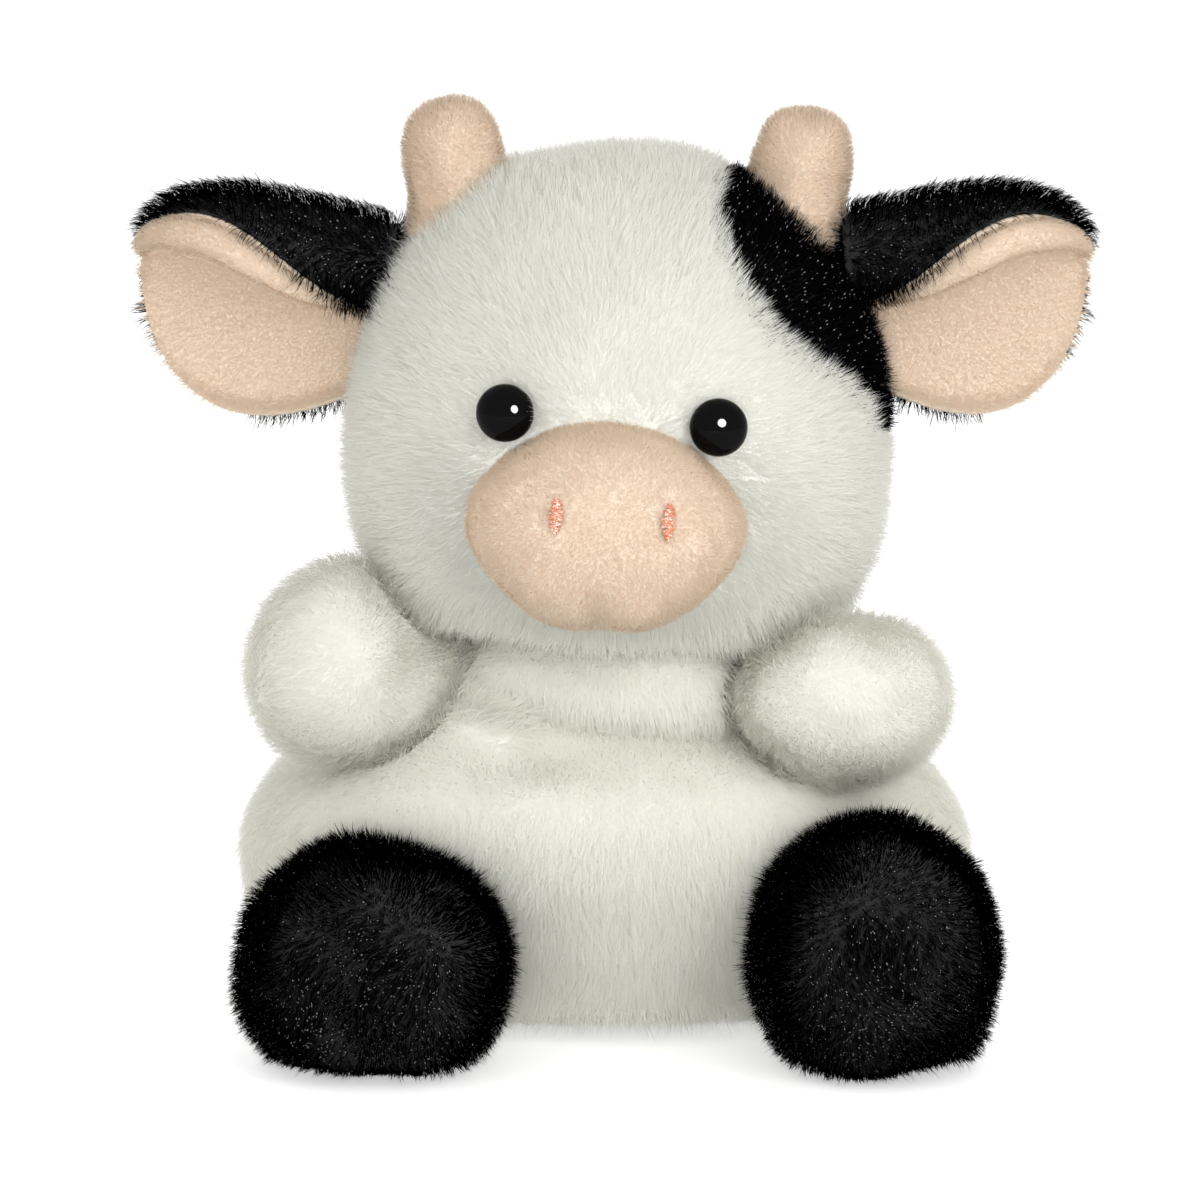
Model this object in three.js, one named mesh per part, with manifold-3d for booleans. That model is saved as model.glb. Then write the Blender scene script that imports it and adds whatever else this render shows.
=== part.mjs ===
// Plush cow: a small seated beanbag toy, in millimetres, +Z up, facing -Y.
// The origin is on the floor, near the middle of the flat seat. Left and right are as seen from in front.
import * as THREE from "three";
import { mergeVertices } from "three/addons/utils/BufferGeometryUtils.js";
import Module from "manifold-3d";

const wasm = await Module();
wasm.setup();

// Cloth and clearances
const pileWall = 2.2; // long-pile cover: backing and the dense part of the pile
const velourWall = 1.2; // short peach pile
const fillingGap = 0.5; // between a cover and its filling
const seamGap = 0.3; // between pieces that are sewn together
const sweepGap = 1; // round a limb, all through its swing
const seatCut = 0.5; // flattened where the toy stands on a surface
const overrun = 6; // a cutter's length past what it cuts

// Trunk
const trunkWidth = 92;
const trunkFront = 31; // from its middle line to the belly
const trunkBack = 36;
const trunkHeight = 47.5;
const trunkLeanForward = 10; // of the top over the seat
const trunkLeanSide = 0.5;
const seatMiddleX = -1; // the middle of the ring round the seat, from the origin
const seatMiddleY = 2;
const foldDepth = 3; // the crease between chest and belly
const foldSpread = 6;
const foldHeightShare = 0.865;
const beanBagHeight = 16;

// Neck
const neckRadius = 6.5;
const neckBallRadius = 8.5;
const neckFootRadius = 7.8;
const neckFootDepth = 11; // below the top of the trunk
const neckFootThick = 4;
const neckOpeningRadius = 9.6;
const neckRunningGap = 0.5;
const headGap = 1.3; // between trunk and head
const nodRise = 5; // the nod's axis above the bottom of the head

// Head
const headWidth = 67.5;
const headHeight = 63.5;
const headFront = 28.5;
const headBack = 28;
const headRoll = 3.5; // degrees, the right cheek lower
const headYaw = -2.8; // degrees, the face turned to the left
const headTurn = 15; // degrees, each way
const headNod = 5; // degrees, each way

// Muzzle
const muzzleWidth = 35;
const muzzleHeight = 26.4;
const muzzleFront = 13.5;
const muzzleBack = 13;
const muzzleSink = 0.5; // its middle line behind the face
const muzzleHeightShare = 0.118; // its lower edge up the head
const puckerDepth = 2;
const puckerWidth = 3.5;
const puckerHeight = 6;
const nostrilWidth = 2.2;
const nostrilHeight = 4.9;
const nostrilSpacing = 13.7;
const nostrilShift = 1.3; // to the right of the muzzle's middle
const nostrilRise = 15.4; // above the muzzle's lower edge
const nostrilThick = 0.6;

// Eyes
const eyeDiameter = 7.5;
const eyeDomeHeight = 2.9;
const eyeEdgeHeight = 0.5;
const eyeSpacing = 26.2;
const eyeHeightShare = 0.52;
const shankDiameter = 2.6;
const shankLength = 7.5;
const shankClearance = 0.3;
const washerDiameter = 9;
const washerThick = 1.2;
const washerSeat = 1.5; // behind the cover
const washerHoleClearance = 0.2;
const faceStep = 1; // each way, to find the face's slope under an eye

// Edge of the black panel, from its tip below the ear over the brow to the crown,
// as shares of half the head's width and height from its middle
const patchEdgeShares = [
  [1.0, -0.125],
  [0.83, 0.185],
  [0.565, 0.39],
  [0.355, 0.69],
  [0.315, 0.875],
  [0.4, 1.02],
];

// Horns
const hornDiameter = 10.6;
const hornLength = 16.2;
const hornSink = 4.5;
const hornSpreadLeft = 39; // degrees from the crown, round the head's middle
const hornSpreadRight = 34; // degrees
const hornLeanLeft = 10; // degrees, outward
const hornLeanRight = 7; // degrees

// Ears
const earLengthLeft = 32.5;
const earLengthRight = 30.6;
const earWidth = 38.4; // along the cloth, before it is rolled
const earLinedThick = 1.2;
const earBackThick = 2.2;
const earLayerGap = 0.3;
const earFlop = 10; // degrees, each way
const earCup = 19; // degrees that each edge turns forward
const earPinch = 23.5; // degrees more at the root
const earRimRoot = 157.5; // degrees that the upper rim rolls over at the root
const earRimTip = 66; // degrees, at the tip
const earRimEase = 2.27; // how fast the roll opens from root to tip, 1 being steadily
const earRootAzimuth = 9; // degrees behind the side of the head
const earRootShareLeft = 0.629; // up the head, as a share of the half turn from pole to pole
const earRootShareRight = 0.688;
const earRiseLeft = 3.7; // degrees above level
const earRiseRight = 8.5; // degrees
const earFacing = 1; // degrees, the cup turned outward
const earTilt = 9; // degrees, the upper rim forward

// Arms
const armWidth = 26;
const armThick = 21;
const armLength = 34.5;
const armRootRadius = 10; // the round end in the shoulder
const armStandOff = 2; // the middle of that end, off the trunk
const armSwing = 12; // degrees, each way
const armAzimuthLeft = 190; // degrees round the trunk, from the right
const armAzimuthRight = -17; // degrees
const armLatitudeLeft = 147; // degrees up the trunk, from pole to pole
const armLatitudeRight = 138; // degrees
const armHeadingLeft = -138; // degrees from the right, seen from above
const armHeadingRight = -71; // degrees
const armRiseLeft = 14.5; // degrees above level
const armRiseRight = 9; // degrees
const armRollLeft = 0; // degrees that the broad side is turned from upright
const armRollRight = 90; // degrees
const armMouthRadius = 5; // opening of the cover at the shoulder

// Feet
const footWidth = 31;
const footHeight = 29.5;
const footLength = 29;
const footSpread = 62.4; // between the middles of the feet
const footSpreadMiddle = 1.5;
const footReach = 8; // from the root to the middle of the foot
const footRootForward = 32; // of the middle of the seat
const footToeOut = 12; // degrees
const footSquash = 0.05; // how much wider and lower the left foot is, and the right one the reverse
const footSplay = 15; // degrees, each way
const footMouthRadius = 6;

// Tail
const tailDiameter = 4.4;
const tailReach = 8; // behind the trunk
const tailDrop = 7;
const tuftLength = 12;
const tuftDiameter = 8;
const tailLatitude = 84; // degrees up the trunk
const tailSwing = 25; // degrees, each way

// Fineness of the forms
const trunkSides = 32;
const trunkRings = 16;
const headSides = 28;
const headRings = 14;
const limbSides = 16;
const limbRings = 9;
const innerSides = 16;
const linerSides = 12;
const linerRings = 7;
const hornSides = 14;
const hornRings = 8;
const innerRings = 8;
const muzzleSides = 20;
const muzzleRings = 10;
const roundSides = 16;
const eyeSides = 20;
const domeSteps = 6;
const earRows = 7;
const earColumns = 12;
const earArcSteps = 24;
const patchEdgeSteps = 3;
const tailSteps = 12;
const tailSides = 10;

const radians = THREE.MathUtils.degToRad;
const up = new THREE.Vector3(0, 0, 1);
const front = new THREE.Vector3(0, -1, 0);

// Materials
const cloth = (color, roughness) => new THREE.MeshStandardMaterial({ color, roughness, metalness: 0 });
const whitePile = cloth(0xe6e9dd, 0.95);
const blackPile = cloth(0x0d0d0f, 0.9);
const peachPile = cloth(0xecc9b4, 0.95);
const coralThread = cloth(0xe08a72, 0.7);
const fibre = cloth(0xf2f2f0, 1);
const linen = cloth(0xd9d4c6, 0.95);
const blackPlastic = cloth(0x050506, 0.12);
const clearPlastic = cloth(0xd8d8d4, 0.45);

// Value at a share from 0 to 1 along a row of evenly spaced shares, smoothly joined
function rowValue(shares, share) {
  const last = shares.length - 1;
  const curve = new THREE.SplineCurve(shares.map((value, i) => new THREE.Vector2(i / last, value)));
  return curve.getPoint(share).y;
}

const rounded = (value, power) => Math.sign(value) * Math.abs(value) ** power;

// Point of a stuffed form: rings of rounded squares, from a lower pole to an upper one.
// Each row of shares says how far the latitudes stand out beside an ellipsoid's.
function formPoint(form, azimuth, latitude, grow = 0) {
  const share = latitude / Math.PI;
  const level = (1 - Math.cos(latitude)) / 2;
  const ring = Math.sin(latitude);
  const isFront = Math.sin(azimuth) < 0;
  const side = (form.width / 2 + grow) * rowValue(form.sideShares, share);
  const depth = isFront
    ? (form.front + grow) * rowValue(form.frontShares, share)
    : (form.back + grow) * rowValue(form.backShares, share);
  const power = 2 / form.squareness;
  const point = new THREE.Vector3(
    rounded(Math.cos(azimuth), power) * side * ring,
    rounded(Math.sin(azimuth), power) * depth * ring,
    level * (form.height + 2 * grow) - grow,
  );
  for (const dent of isFront ? form.dents : []) {
    const across = point.x / dent.width;
    const upward = (point.z - dent.z) / dent.height;
    point.y += dent.depth * Math.exp(-(across ** 2) - upward ** 2) * -Math.sin(azimuth);
  }
  return point.add(form.lean.clone().multiplyScalar(level)).add(form.at);
}

function stuffedForm(sizes) {
  return {
    frontShares: sizes.sideShares,
    backShares: sizes.sideShares,
    squareness: 2,
    dents: [],
    lean: new THREE.Vector3(),
    at: new THREE.Vector3(),
    ...sizes,
  };
}

// Closed surface of a stuffed form, grown or shrunk all round
function formGeometry(form, sides, rings, grow = 0) {
  const points = [formPoint(form, 0, 0, grow)];
  for (let ring = 1; ring < rings; ring++) {
    for (let side = 0; side < sides; side++) {
      points.push(formPoint(form, (2 * Math.PI * side) / sides, (Math.PI * ring) / rings, grow));
    }
  }
  points.push(formPoint(form, 0, Math.PI, grow));
  const top = points.length - 1;
  const at = (ring, side) => 1 + (ring - 1) * sides + (side % sides);
  const index = [];
  for (let side = 0; side < sides; side++) {
    index.push(0, at(1, side + 1), at(1, side));
    index.push(top, at(rings - 1, side), at(rings - 1, side + 1));
    for (let ring = 1; ring < rings - 1; ring++) {
      const corners = [at(ring, side), at(ring, side + 1), at(ring + 1, side + 1), at(ring + 1, side)];
      index.push(corners[0], corners[1], corners[2], corners[0], corners[2], corners[3]);
    }
  }
  return new THREE.BufferGeometry().setFromPoints(points).setIndex(index);
}

// Closed sheet between two grids of points, whose rows may close to a point
function sheetGeometry(rows, columns, pointOf) {
  const points = [];
  const at = (face, row, column) => (face * (rows + 1) + row) * (columns + 1) + column;
  for (const face of [0, 1]) {
    for (let row = 0; row <= rows; row++) {
      for (let column = 0; column <= columns; column++) {
        points.push(pointOf(face, row / rows, column / columns));
      }
    }
  }
  const index = [];
  const quad = (a, b, c, d) => index.push(a, b, c, a, c, d);
  for (let row = 0; row < rows; row++) {
    for (let column = 0; column < columns; column++) {
      const [r, c] = [row + 1, column + 1];
      quad(at(0, row, column), at(0, row, c), at(0, r, c), at(0, r, column));
      quad(at(1, row, column), at(1, r, column), at(1, r, c), at(1, row, c));
    }
    quad(at(0, row, 0), at(0, row + 1, 0), at(1, row + 1, 0), at(1, row, 0));
    quad(at(0, row + 1, columns), at(0, row, columns), at(1, row, columns), at(1, row + 1, columns));
  }
  for (let column = 0; column < columns; column++) {
    quad(at(0, 0, column + 1), at(0, 0, column), at(1, 0, column), at(1, 0, column + 1));
    quad(at(0, rows, column), at(0, rows, column + 1), at(1, rows, column + 1), at(1, rows, column));
  }
  return new THREE.BufferGeometry().setFromPoints(points).setIndex(index);
}

// Geometry to a solid for cutting, and back
function solid(geometry, group) {
  const bare = geometry.clone();
  bare.deleteAttribute("normal");
  bare.deleteAttribute("uv");
  if (group) bare.applyMatrix4(group.matrixWorld);
  const merged = mergeVertices(bare);
  const corners = merged.index.array;
  const triVerts = [];
  for (let i = 0; i < corners.length; i += 3) {
    const [a, b, c] = corners.slice(i, i + 3);
    if (a !== b && b !== c && c !== a) triVerts.push(a, b, c);
  }
  const vertProperties = new Float32Array(merged.attributes.position.array);
  const mesh = new wasm.Mesh({ numProp: 3, vertProperties, triVerts: new Uint32Array(triVerts) });
  return new wasm.Manifold(mesh);
}

function geometryOf(body) {
  const { vertProperties, triVerts } = body.getMesh();
  const geometry = new THREE.BufferGeometry();
  geometry.setAttribute("position", new THREE.BufferAttribute(vertProperties, 3));
  geometry.setIndex(new THREE.BufferAttribute(triVerts, 1));
  return geometry;
}

const cutAll = (body, cutters) => cutters.reduce((left, cutter) => left.subtract(cutter), body);

// Piece from a solid in the toy's frame, hung on the group that carries it
function addPiece(group, name, body, material) {
  const geometry = geometryOf(body).applyMatrix4(group.matrixWorld.clone().invert());
  geometry.computeVertexNormals();
  const mesh = new THREE.Mesh(geometry, material);
  mesh.name = name;
  group.add(mesh);
  return mesh;
}

// Upright round cutter or post, from one height to another
function post(radius, bottom, top, sides = roundSides) {
  const geometry = new THREE.CylinderGeometry(radius, radius, top - bottom, sides);
  return geometry.rotateX(Math.PI / 2).translate(0, 0, (bottom + top) / 2);
}

function ball(radius, height) {
  return new THREE.SphereGeometry(radius, roundSides, roundSides / 2).rotateX(Math.PI / 2).translate(0, 0, height);
}

// Lathe profile of radius and height pairs, turned about the upright axis
function turned(profile, sides = roundSides) {
  const points = profile.map(([radius, height]) => new THREE.Vector2(radius, height));
  return new THREE.LatheGeometry(points, sides).rotateX(Math.PI / 2);
}

// Groups: each one that moves has its origin on its joint's axis
function addGroup(parent, name, position) {
  const group = new THREE.Group();
  group.name = name;
  group.position.copy(position);
  parent.add(group);
  return group;
}

const toy = new THREE.Group();

// Forms of the trunk and head
const trunkForm = stuffedForm({
  width: trunkWidth,
  front: trunkFront,
  back: trunkBack,
  height: trunkHeight,
  sideShares: [2.1, 1.93, 1.29, 1.07, 1, 0.94, 0.82, 1.15, 1.4],
  frontShares: [2.1, 1.93, 1.32, 1.08, 1.03, 1.03, 1.02, 1.5, 1.8],
  backShares: [2, 1.74, 1.25, 1.08, 1, 0.91, 0.84, 1.2, 1.4],
  squareness: 2.15,
  lean: new THREE.Vector3(trunkLeanSide, -trunkLeanForward, 0),
  at: new THREE.Vector3(seatMiddleX, seatMiddleY, -seatCut),
  dents: [{ width: trunkWidth, height: foldSpread, z: foldHeightShare * trunkHeight, depth: foldDepth }],
});
const trunkTop = trunkHeight - seatCut;
const neckX = seatMiddleX + trunkLeanSide;
const neckY = seatMiddleY - trunkLeanForward;
const nodHeight = trunkTop + headGap + nodRise;

const headForm = stuffedForm({
  width: headWidth,
  front: headFront,
  back: headBack,
  height: headHeight,
  sideShares: [1.9, 1.72, 1.26, 1.08, 1, 0.98, 1.02, 1.13, 1.15],
  frontShares: [1.7, 1.5, 1.2, 1.06, 1, 0.97, 0.98, 1.05, 1.1],
  backShares: [1.6, 1.4, 1.14, 1.03, 1, 1, 1.01, 1.05, 1.1],
  squareness: 2.1,
  at: new THREE.Vector3(0, 0, -nodRise),
});
const headMiddle = headHeight / 2 - nodRise;

const neck = addGroup(toy, "neck", new THREE.Vector3(neckX, neckY, 0));
const head = addGroup(toy, "head", new THREE.Vector3(neckX, neckY, nodHeight));
head.rotation.set(0, radians(headRoll), radians(headYaw), "ZYX");

// Depth of the face at a place on its front, found between the latitudes
function facePoint(form, x, z) {
  const level = (z - form.at.z) / form.height;
  const latitude = Math.acos(1 - 2 * level);
  const side = formPoint(form, 0, latitude).x;
  const acrossShare = (Math.abs(x) / side) ** (form.squareness / 2);
  return formPoint(form, -Math.acos(Math.sign(x) * acrossShare), latitude);
}

// Direction square to the face there
function faceNormal(form, x, z) {
  const across = facePoint(form, x + faceStep, z).sub(facePoint(form, x - faceStep, z));
  const upward = facePoint(form, x, z + faceStep).sub(facePoint(form, x, z - faceStep));
  return across.cross(upward).normalize();
}

// Limbs: their groups first, so that the trunk can be cut by their swing
const armBallShares = [1.15, 1.11, 1.04, 0.9, 0.93, 1.08, 1.17, 1.22, 1.25];
const armForm = stuffedForm({
  width: armWidth,
  front: armThick / 2,
  back: armThick / 2,
  height: armLength,
  sideShares: armBallShares,
  at: new THREE.Vector3(0, 0, -armRootRadius),
});

function addArmGroup(name, azimuth, latitude, heading, rise, roll) {
  const shoulder = formPoint(trunkForm, radians(azimuth), radians(latitude), armStandOff);
  const group = addGroup(toy, name, shoulder);
  group.rotation.set(0, Math.PI / 2 - radians(rise), radians(heading), "ZYX");
  group.rotateZ(radians(roll));
  return group;
}

const arms = [
  {
    side: "left",
    group: addArmGroup(
      "arm_left",
      armAzimuthLeft,
      armLatitudeLeft,
      armHeadingLeft,
      armRiseLeft,
      armRollLeft,
    ),
  },
  {
    side: "right",
    group: addArmGroup(
      "arm_right",
      armAzimuthRight,
      armLatitudeRight,
      armHeadingRight,
      armRiseRight,
      armRollRight,
    ),
  },
];

const feet = [-1, 1].map((sign) => {
  const squash = 1 - sign * footSquash;
  const middle = new THREE.Vector3(
    footSpreadMiddle + (sign * footSpread) / 2 - sign * Math.sin(radians(footToeOut)) * footReach,
    seatMiddleY - footRootForward,
    0,
  );
  const group = addGroup(toy, sign < 0 ? "foot_left" : "foot_right", middle);
  group.rotation.z = radians(sign * footToeOut);
  const form = stuffedForm({
    width: footWidth * squash,
    front: footLength / 2,
    back: footLength / 2,
    height: footHeight / squash,
    sideShares: [1.6, 1.5, 1.17, 1.04, 1, 1, 1.04, 1.12, 1.15],
    squareness: 2.25,
    at: new THREE.Vector3(0, -footReach, -seatCut),
  });
  return { side: sign < 0 ? "left" : "right", group, form };
});

// The tail's root, on the back of the trunk
const tailRoot = formPoint(trunkForm, Math.PI / 2, radians(tailLatitude));
const tail = addGroup(toy, "tail", tailRoot);
toy.updateMatrixWorld(true);

// What a geometry in the toy's frame sweeps as it swings each way about a group's origin
function swept(geometry, group, axis, swing) {
  const pivot = group.getWorldPosition(new THREE.Vector3());
  const turns = [-1, 0, 1].map((side) => {
    const turn = new THREE.Matrix4().makeRotationAxis(axis, radians(side * swing));
    const matrix = new THREE.Matrix4().makeTranslation(pivot).multiply(turn);
    matrix.multiply(new THREE.Matrix4().makeTranslation(pivot.clone().negate()));
    return solid(geometry.clone().applyMatrix4(matrix));
  });
  return turns.reduce((all, turn) => all.add(turn));
}

const inToyFrame = (geometry, group) => geometry.clone().applyMatrix4(group.matrixWorld);

function limbRoom(group, form, swing) {
  const grown = formGeometry(form, linerSides, linerRings, sweepGap);
  return swept(inToyFrame(grown, group), group, up, swing);
}
const limbRooms = [
  ...arms.map(({ group }) => limbRoom(group, armForm, armSwing)),
  ...feet.map(({ group, form }) => limbRoom(group, form, footSplay)),
];

// Trunk: cover, filling of the chest and the bag of beans in the seat
const widest = trunkWidth + trunkFront + trunkBack;
const slab = (bottom, top) =>
  solid(new THREE.BoxGeometry(widest, widest, top - bottom).translate(0, 0, (bottom + top) / 2));
const underFloor = slab(-overrun, 0);
const trunkOuter = solid(formGeometry(trunkForm, trunkSides, trunkRings)).subtract(underFloor);
const trunkInner = solid(formGeometry(trunkForm, innerSides, innerRings, -pileWall));
const neckOpening = solid(post(neckOpeningRadius, trunkTop - neckFootDepth, trunkTop + overrun), neck);
const trunkHollow = [trunkInner, neckOpening, ...limbRooms];
addPiece(toy, "body_cover", cutAll(trunkOuter, trunkHollow), whitePile);

const trunkPadding = cutAll(
  solid(formGeometry(trunkForm, innerSides, innerRings, -pileWall - fillingGap)),
  limbRooms,
);
const neckRoom = solid(
  post(neckFootRadius + neckRunningGap, trunkTop - neckFootDepth - neckRunningGap, trunkTop + overrun),
  neck,
);
const chest = trunkPadding.subtract(slab(-overrun, beanBagHeight + fillingGap)).subtract(neckRoom);
addPiece(toy, "body_filling", chest, fibre);
addPiece(toy, "bean_bag", trunkPadding.subtract(slab(beanBagHeight, trunkHeight + overrun)), linen);

// Neck: a plug of filling, with a foot in the chest and a ball in the head
const neckBottom = trunkTop - neckFootDepth;
const neckPost = solid(post(neckRadius, neckBottom + neckFootThick / 2, nodHeight), neck);
const neckFoot = solid(post(neckFootRadius, neckBottom, neckBottom + neckFootThick), neck);
const neckPlug = neckPost.add(neckFoot).add(solid(ball(neckBallRadius, nodHeight), neck));
addPiece(neck, "neck_filling", neckPlug, fibre);

// Eyes: their places on the face, each group's +Z pointing out of it
const eyeHeight = eyeHeightShare * headHeight - nodRise;
const eyes = [-1, 1].map((sign) => {
  const x = (sign * eyeSpacing) / 2;
  const normal = faceNormal(headForm, x, eyeHeight);
  const place = facePoint(headForm, x, eyeHeight).add(normal.clone().multiplyScalar(seamGap));
  const side = sign < 0 ? "left" : "right";
  const group = addGroup(head, `eye_${side}_place`, place);
  group.quaternion.setFromUnitVectors(up, normal);
  return { side, group };
});
toy.updateMatrixWorld(true);

// Black panel: its edge as the front shows it, cut right through the head from front to back
function patchCutter(clearance) {
  const shift = clearance * Math.SQRT1_2;
  const edge = patchEdgeShares.map(
    ([across, upward]) =>
      new THREE.Vector2((across * headWidth) / 2 - shift, (upward * headHeight) / 2 - shift),
  );
  const reach = headWidth + overrun;
  const outline = new THREE.Shape([new THREE.Vector2(reach, edge[0].y), edge[0]]);
  outline.splineThru(edge.slice(1));
  outline.lineTo(edge[edge.length - 1].x, reach);
  outline.lineTo(reach, reach);
  outline.closePath();
  const depth = 2 * (headFront + headBack);
  const prism = new THREE.ExtrudeGeometry(outline, { depth, bevelEnabled: false, curveSegments: patchEdgeSteps });
  return prism.rotateX(Math.PI / 2).translate(0, depth / 2, headMiddle);
}

// Head: cover, black panel and filling
const headOuter = solid(formGeometry(headForm, headSides, headRings), head);
const headInner = solid(formGeometry(headForm, innerSides, innerRings, -pileWall), head);
const headHollow = [headInner, solid(post(neckOpeningRadius, -nodRise - overrun, 0), head)];
for (const { group } of eyes) {
  headHollow.push(solid(post(shankDiameter / 2 + shankClearance, -shankLength, overrun), group));
}
const headShell = cutAll(headOuter, headHollow);
addPiece(head, "head_cover", headShell.subtract(solid(patchCutter(seamGap), head)), whitePile);
addPiece(head, "head_patch", headShell.intersect(solid(patchCutter(0), head)), blackPile);

const washerTop = -pileWall - washerSeat - seamGap;
const headPockets = [
  solid(ball(neckBallRadius + neckRunningGap, 0), head),
  solid(post(neckBallRadius + neckRunningGap, -nodRise - overrun, 0), head),
];
for (const { group } of eyes) {
  const pocketRadius = washerDiameter / 2 + shankClearance;
  headPockets.push(solid(post(pocketRadius, -shankLength - fillingGap, overrun), group));
}
const headPadding = solid(formGeometry(headForm, innerSides, innerRings, -pileWall - fillingGap), head);
addPiece(head, "head_filling", cutAll(headPadding, headPockets), fibre);

// Safety eyes: a dome and its shank in one, and the washer that locks it behind the cover
const eyeRadius = eyeDiameter / 2;
const domeProfile = Array.from({ length: domeSteps + 1 }, (unused, i) => {
  const turn = (i / domeSteps) * (Math.PI / 2);
  return [eyeRadius * Math.cos(turn), eyeEdgeHeight + (eyeDomeHeight - eyeEdgeHeight) * Math.sin(turn)];
});
domeProfile[domeSteps][0] = 0;
const eyeProfile = [
  [0, -shankLength],
  [shankDiameter / 2, -shankLength],
  [shankDiameter / 2, 0],
  [eyeRadius - eyeEdgeHeight / 2, 0],
  ...domeProfile,
];
const washerHole = shankDiameter / 2 + washerHoleClearance;
const washerProfile = [
  [washerHole, washerTop - washerThick],
  [washerDiameter / 2, washerTop - washerThick],
  [washerDiameter / 2, washerTop],
  [washerHole, washerTop],
  [washerHole, washerTop - washerThick],
];
for (const { side, group } of eyes) {
  addPiece(group, `eye_${side}`, solid(turned(eyeProfile, eyeSides), group), blackPlastic);
  addPiece(group, `eye_washer_${side}`, solid(turned(washerProfile), group), clearPlastic);
}

// Muzzle: cover open behind, filling and the stitched nostrils
const muzzleLow = muzzleHeightShare * headHeight - nodRise;
const muzzleFaceY = facePoint(headForm, 0, muzzleLow + muzzleHeight / 2).y;
const muzzleForm = stuffedForm({
  width: muzzleWidth,
  front: muzzleFront,
  back: muzzleBack,
  height: muzzleHeight,
  sideShares: [1.35, 1.28, 1.12, 1.03, 1, 0.99, 1.01, 1.04, 1.05],
  squareness: 2.3,
  at: new THREE.Vector3(0, muzzleFaceY + muzzleSink, muzzleLow),
  dents: [{ width: puckerWidth, height: puckerHeight, z: 0, depth: puckerDepth }],
});
const muzzleBody = (grow) => solid(formGeometry(muzzleForm, muzzleSides, muzzleRings, grow), head);
const muzzleLiner = (grow) => solid(formGeometry(muzzleForm, innerSides, innerRings, grow), head);
const headRoom = (clearance) => solid(formGeometry(headForm, headSides, headRings, clearance), head);
const muzzleSeat = headRoom(seamGap);
const eyeRoom = eyes.map(({ group }) => {
  const room = post(eyeRadius + seamGap, -shankLength - overrun, eyeDomeHeight + overrun);
  return solid(room, group);
});
const muzzleCutters = [muzzleSeat, muzzleLiner(-velourWall), ...eyeRoom];
addPiece(head, "muzzle_cover", cutAll(muzzleBody(0), muzzleCutters), peachPile);
const muzzlePadding = cutAll(muzzleLiner(-velourWall - fillingGap), [headRoom(fillingGap), ...eyeRoom]);
addPiece(head, "muzzle_filling", muzzlePadding, fibre);

const stitchLayer = muzzleBody(seamGap + nostrilThick).subtract(muzzleBody(seamGap));
for (const sign of [-1, 1]) {
  const oval = post(nostrilWidth / 2, 0, muzzleFront + overrun).rotateX(Math.PI / 2);
  oval.scale(1, 1, nostrilHeight / nostrilWidth);
  oval.translate(nostrilShift + (sign * nostrilSpacing) / 2, muzzleForm.at.y, muzzleLow + nostrilRise);
  const name = sign < 0 ? "nostril_left" : "nostril_right";
  addPiece(head, name, stitchLayer.intersect(solid(oval, head)), coralThread);
}

// Horns: velour tubes with round ends, standing on the crown
const hornForm = stuffedForm({
  width: hornDiameter,
  front: hornDiameter / 2,
  back: hornDiameter / 2,
  height: hornLength,
  sideShares: [2.8, 2.7, 1.52, 1.14, 1.03, 1.08, 1.22, 1.29, 1.3],
  at: new THREE.Vector3(0, 0, -hornSink),
});
for (const sign of [-1, 1]) {
  const side = sign < 0 ? "left" : "right";
  const azimuth = sign < 0 ? Math.PI : 0;
  const spread = sign < 0 ? hornSpreadLeft : hornSpreadRight;
  const base = formPoint(headForm, azimuth, Math.PI - radians(spread));
  const group = addGroup(head, `horn_${side}_place`, base);
  group.rotation.y = radians(sign < 0 ? -hornLeanLeft : hornLeanRight);
  toy.updateMatrixWorld(true);
  const outer = solid(formGeometry(hornForm, hornSides, hornRings), group).subtract(headRoom(seamGap));
  const inner = solid(formGeometry(hornForm, linerSides, linerRings, -velourWall), group);
  addPiece(group, `horn_cover_${side}`, outer.subtract(inner), peachPile);
  const padding = solid(formGeometry(hornForm, linerSides, linerRings, -velourWall - fillingGap), group);
  addPiece(group, `horn_filling_${side}`, padding.subtract(headRoom(fillingGap)), fibre);
}

// Ears: two sewn layers, a leaf pinched at its root, cupped forward, its upper rim rolled over.
// A section starts at the middle line and turns steadily, and faster along the upper rim.
const earWidestShare = 0.52;
const earRootWidthShare = 0.69;
const earTipWidthShare = 0.18;
const earRimStartShare = 0.14;
const earRimEndShare = 0.7;

function earHalfWidth(share) {
  if (share > earWidestShare) {
    const past = (share - earWidestShare) / (1 - earWidestShare);
    return (earWidth / 2) * Math.max(earTipWidthShare, Math.sqrt(1 - past ** 2));
  }
  const opened = Math.sin((share / earWidestShare) * (Math.PI / 2));
  return (earWidth / 2) * (earRootWidthShare + (1 - earRootWidthShare) * opened);
}

// Place and normal of the middle surface, along the ear and across it from -1 to 1
function earPoint(length, share, across, offset) {
  const half = earHalfWidth(share);
  const cup = radians(earCup + earPinch * (1 - share) ** 2);
  const rim = radians(THREE.MathUtils.lerp(earRimTip, earRimRoot, (1 - share) ** earRimEase));
  const heading = (s) => cup * s + rim * THREE.MathUtils.smoothstep(s, earRimStartShare, earRimEndShare);
  const point = new THREE.Vector3(share * length, 0, 0);
  const stride = (half * across) / earArcSteps;
  for (let step = 0; step < earArcSteps; step++) {
    const turn = heading((across * (step + 0.5)) / earArcSteps);
    point.y -= Math.sin(turn) * stride;
    point.z += Math.cos(turn) * stride;
  }
  const turn = heading(across);
  return point.add(new THREE.Vector3(0, Math.cos(turn), Math.sin(turn)).multiplyScalar(offset));
}

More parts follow.
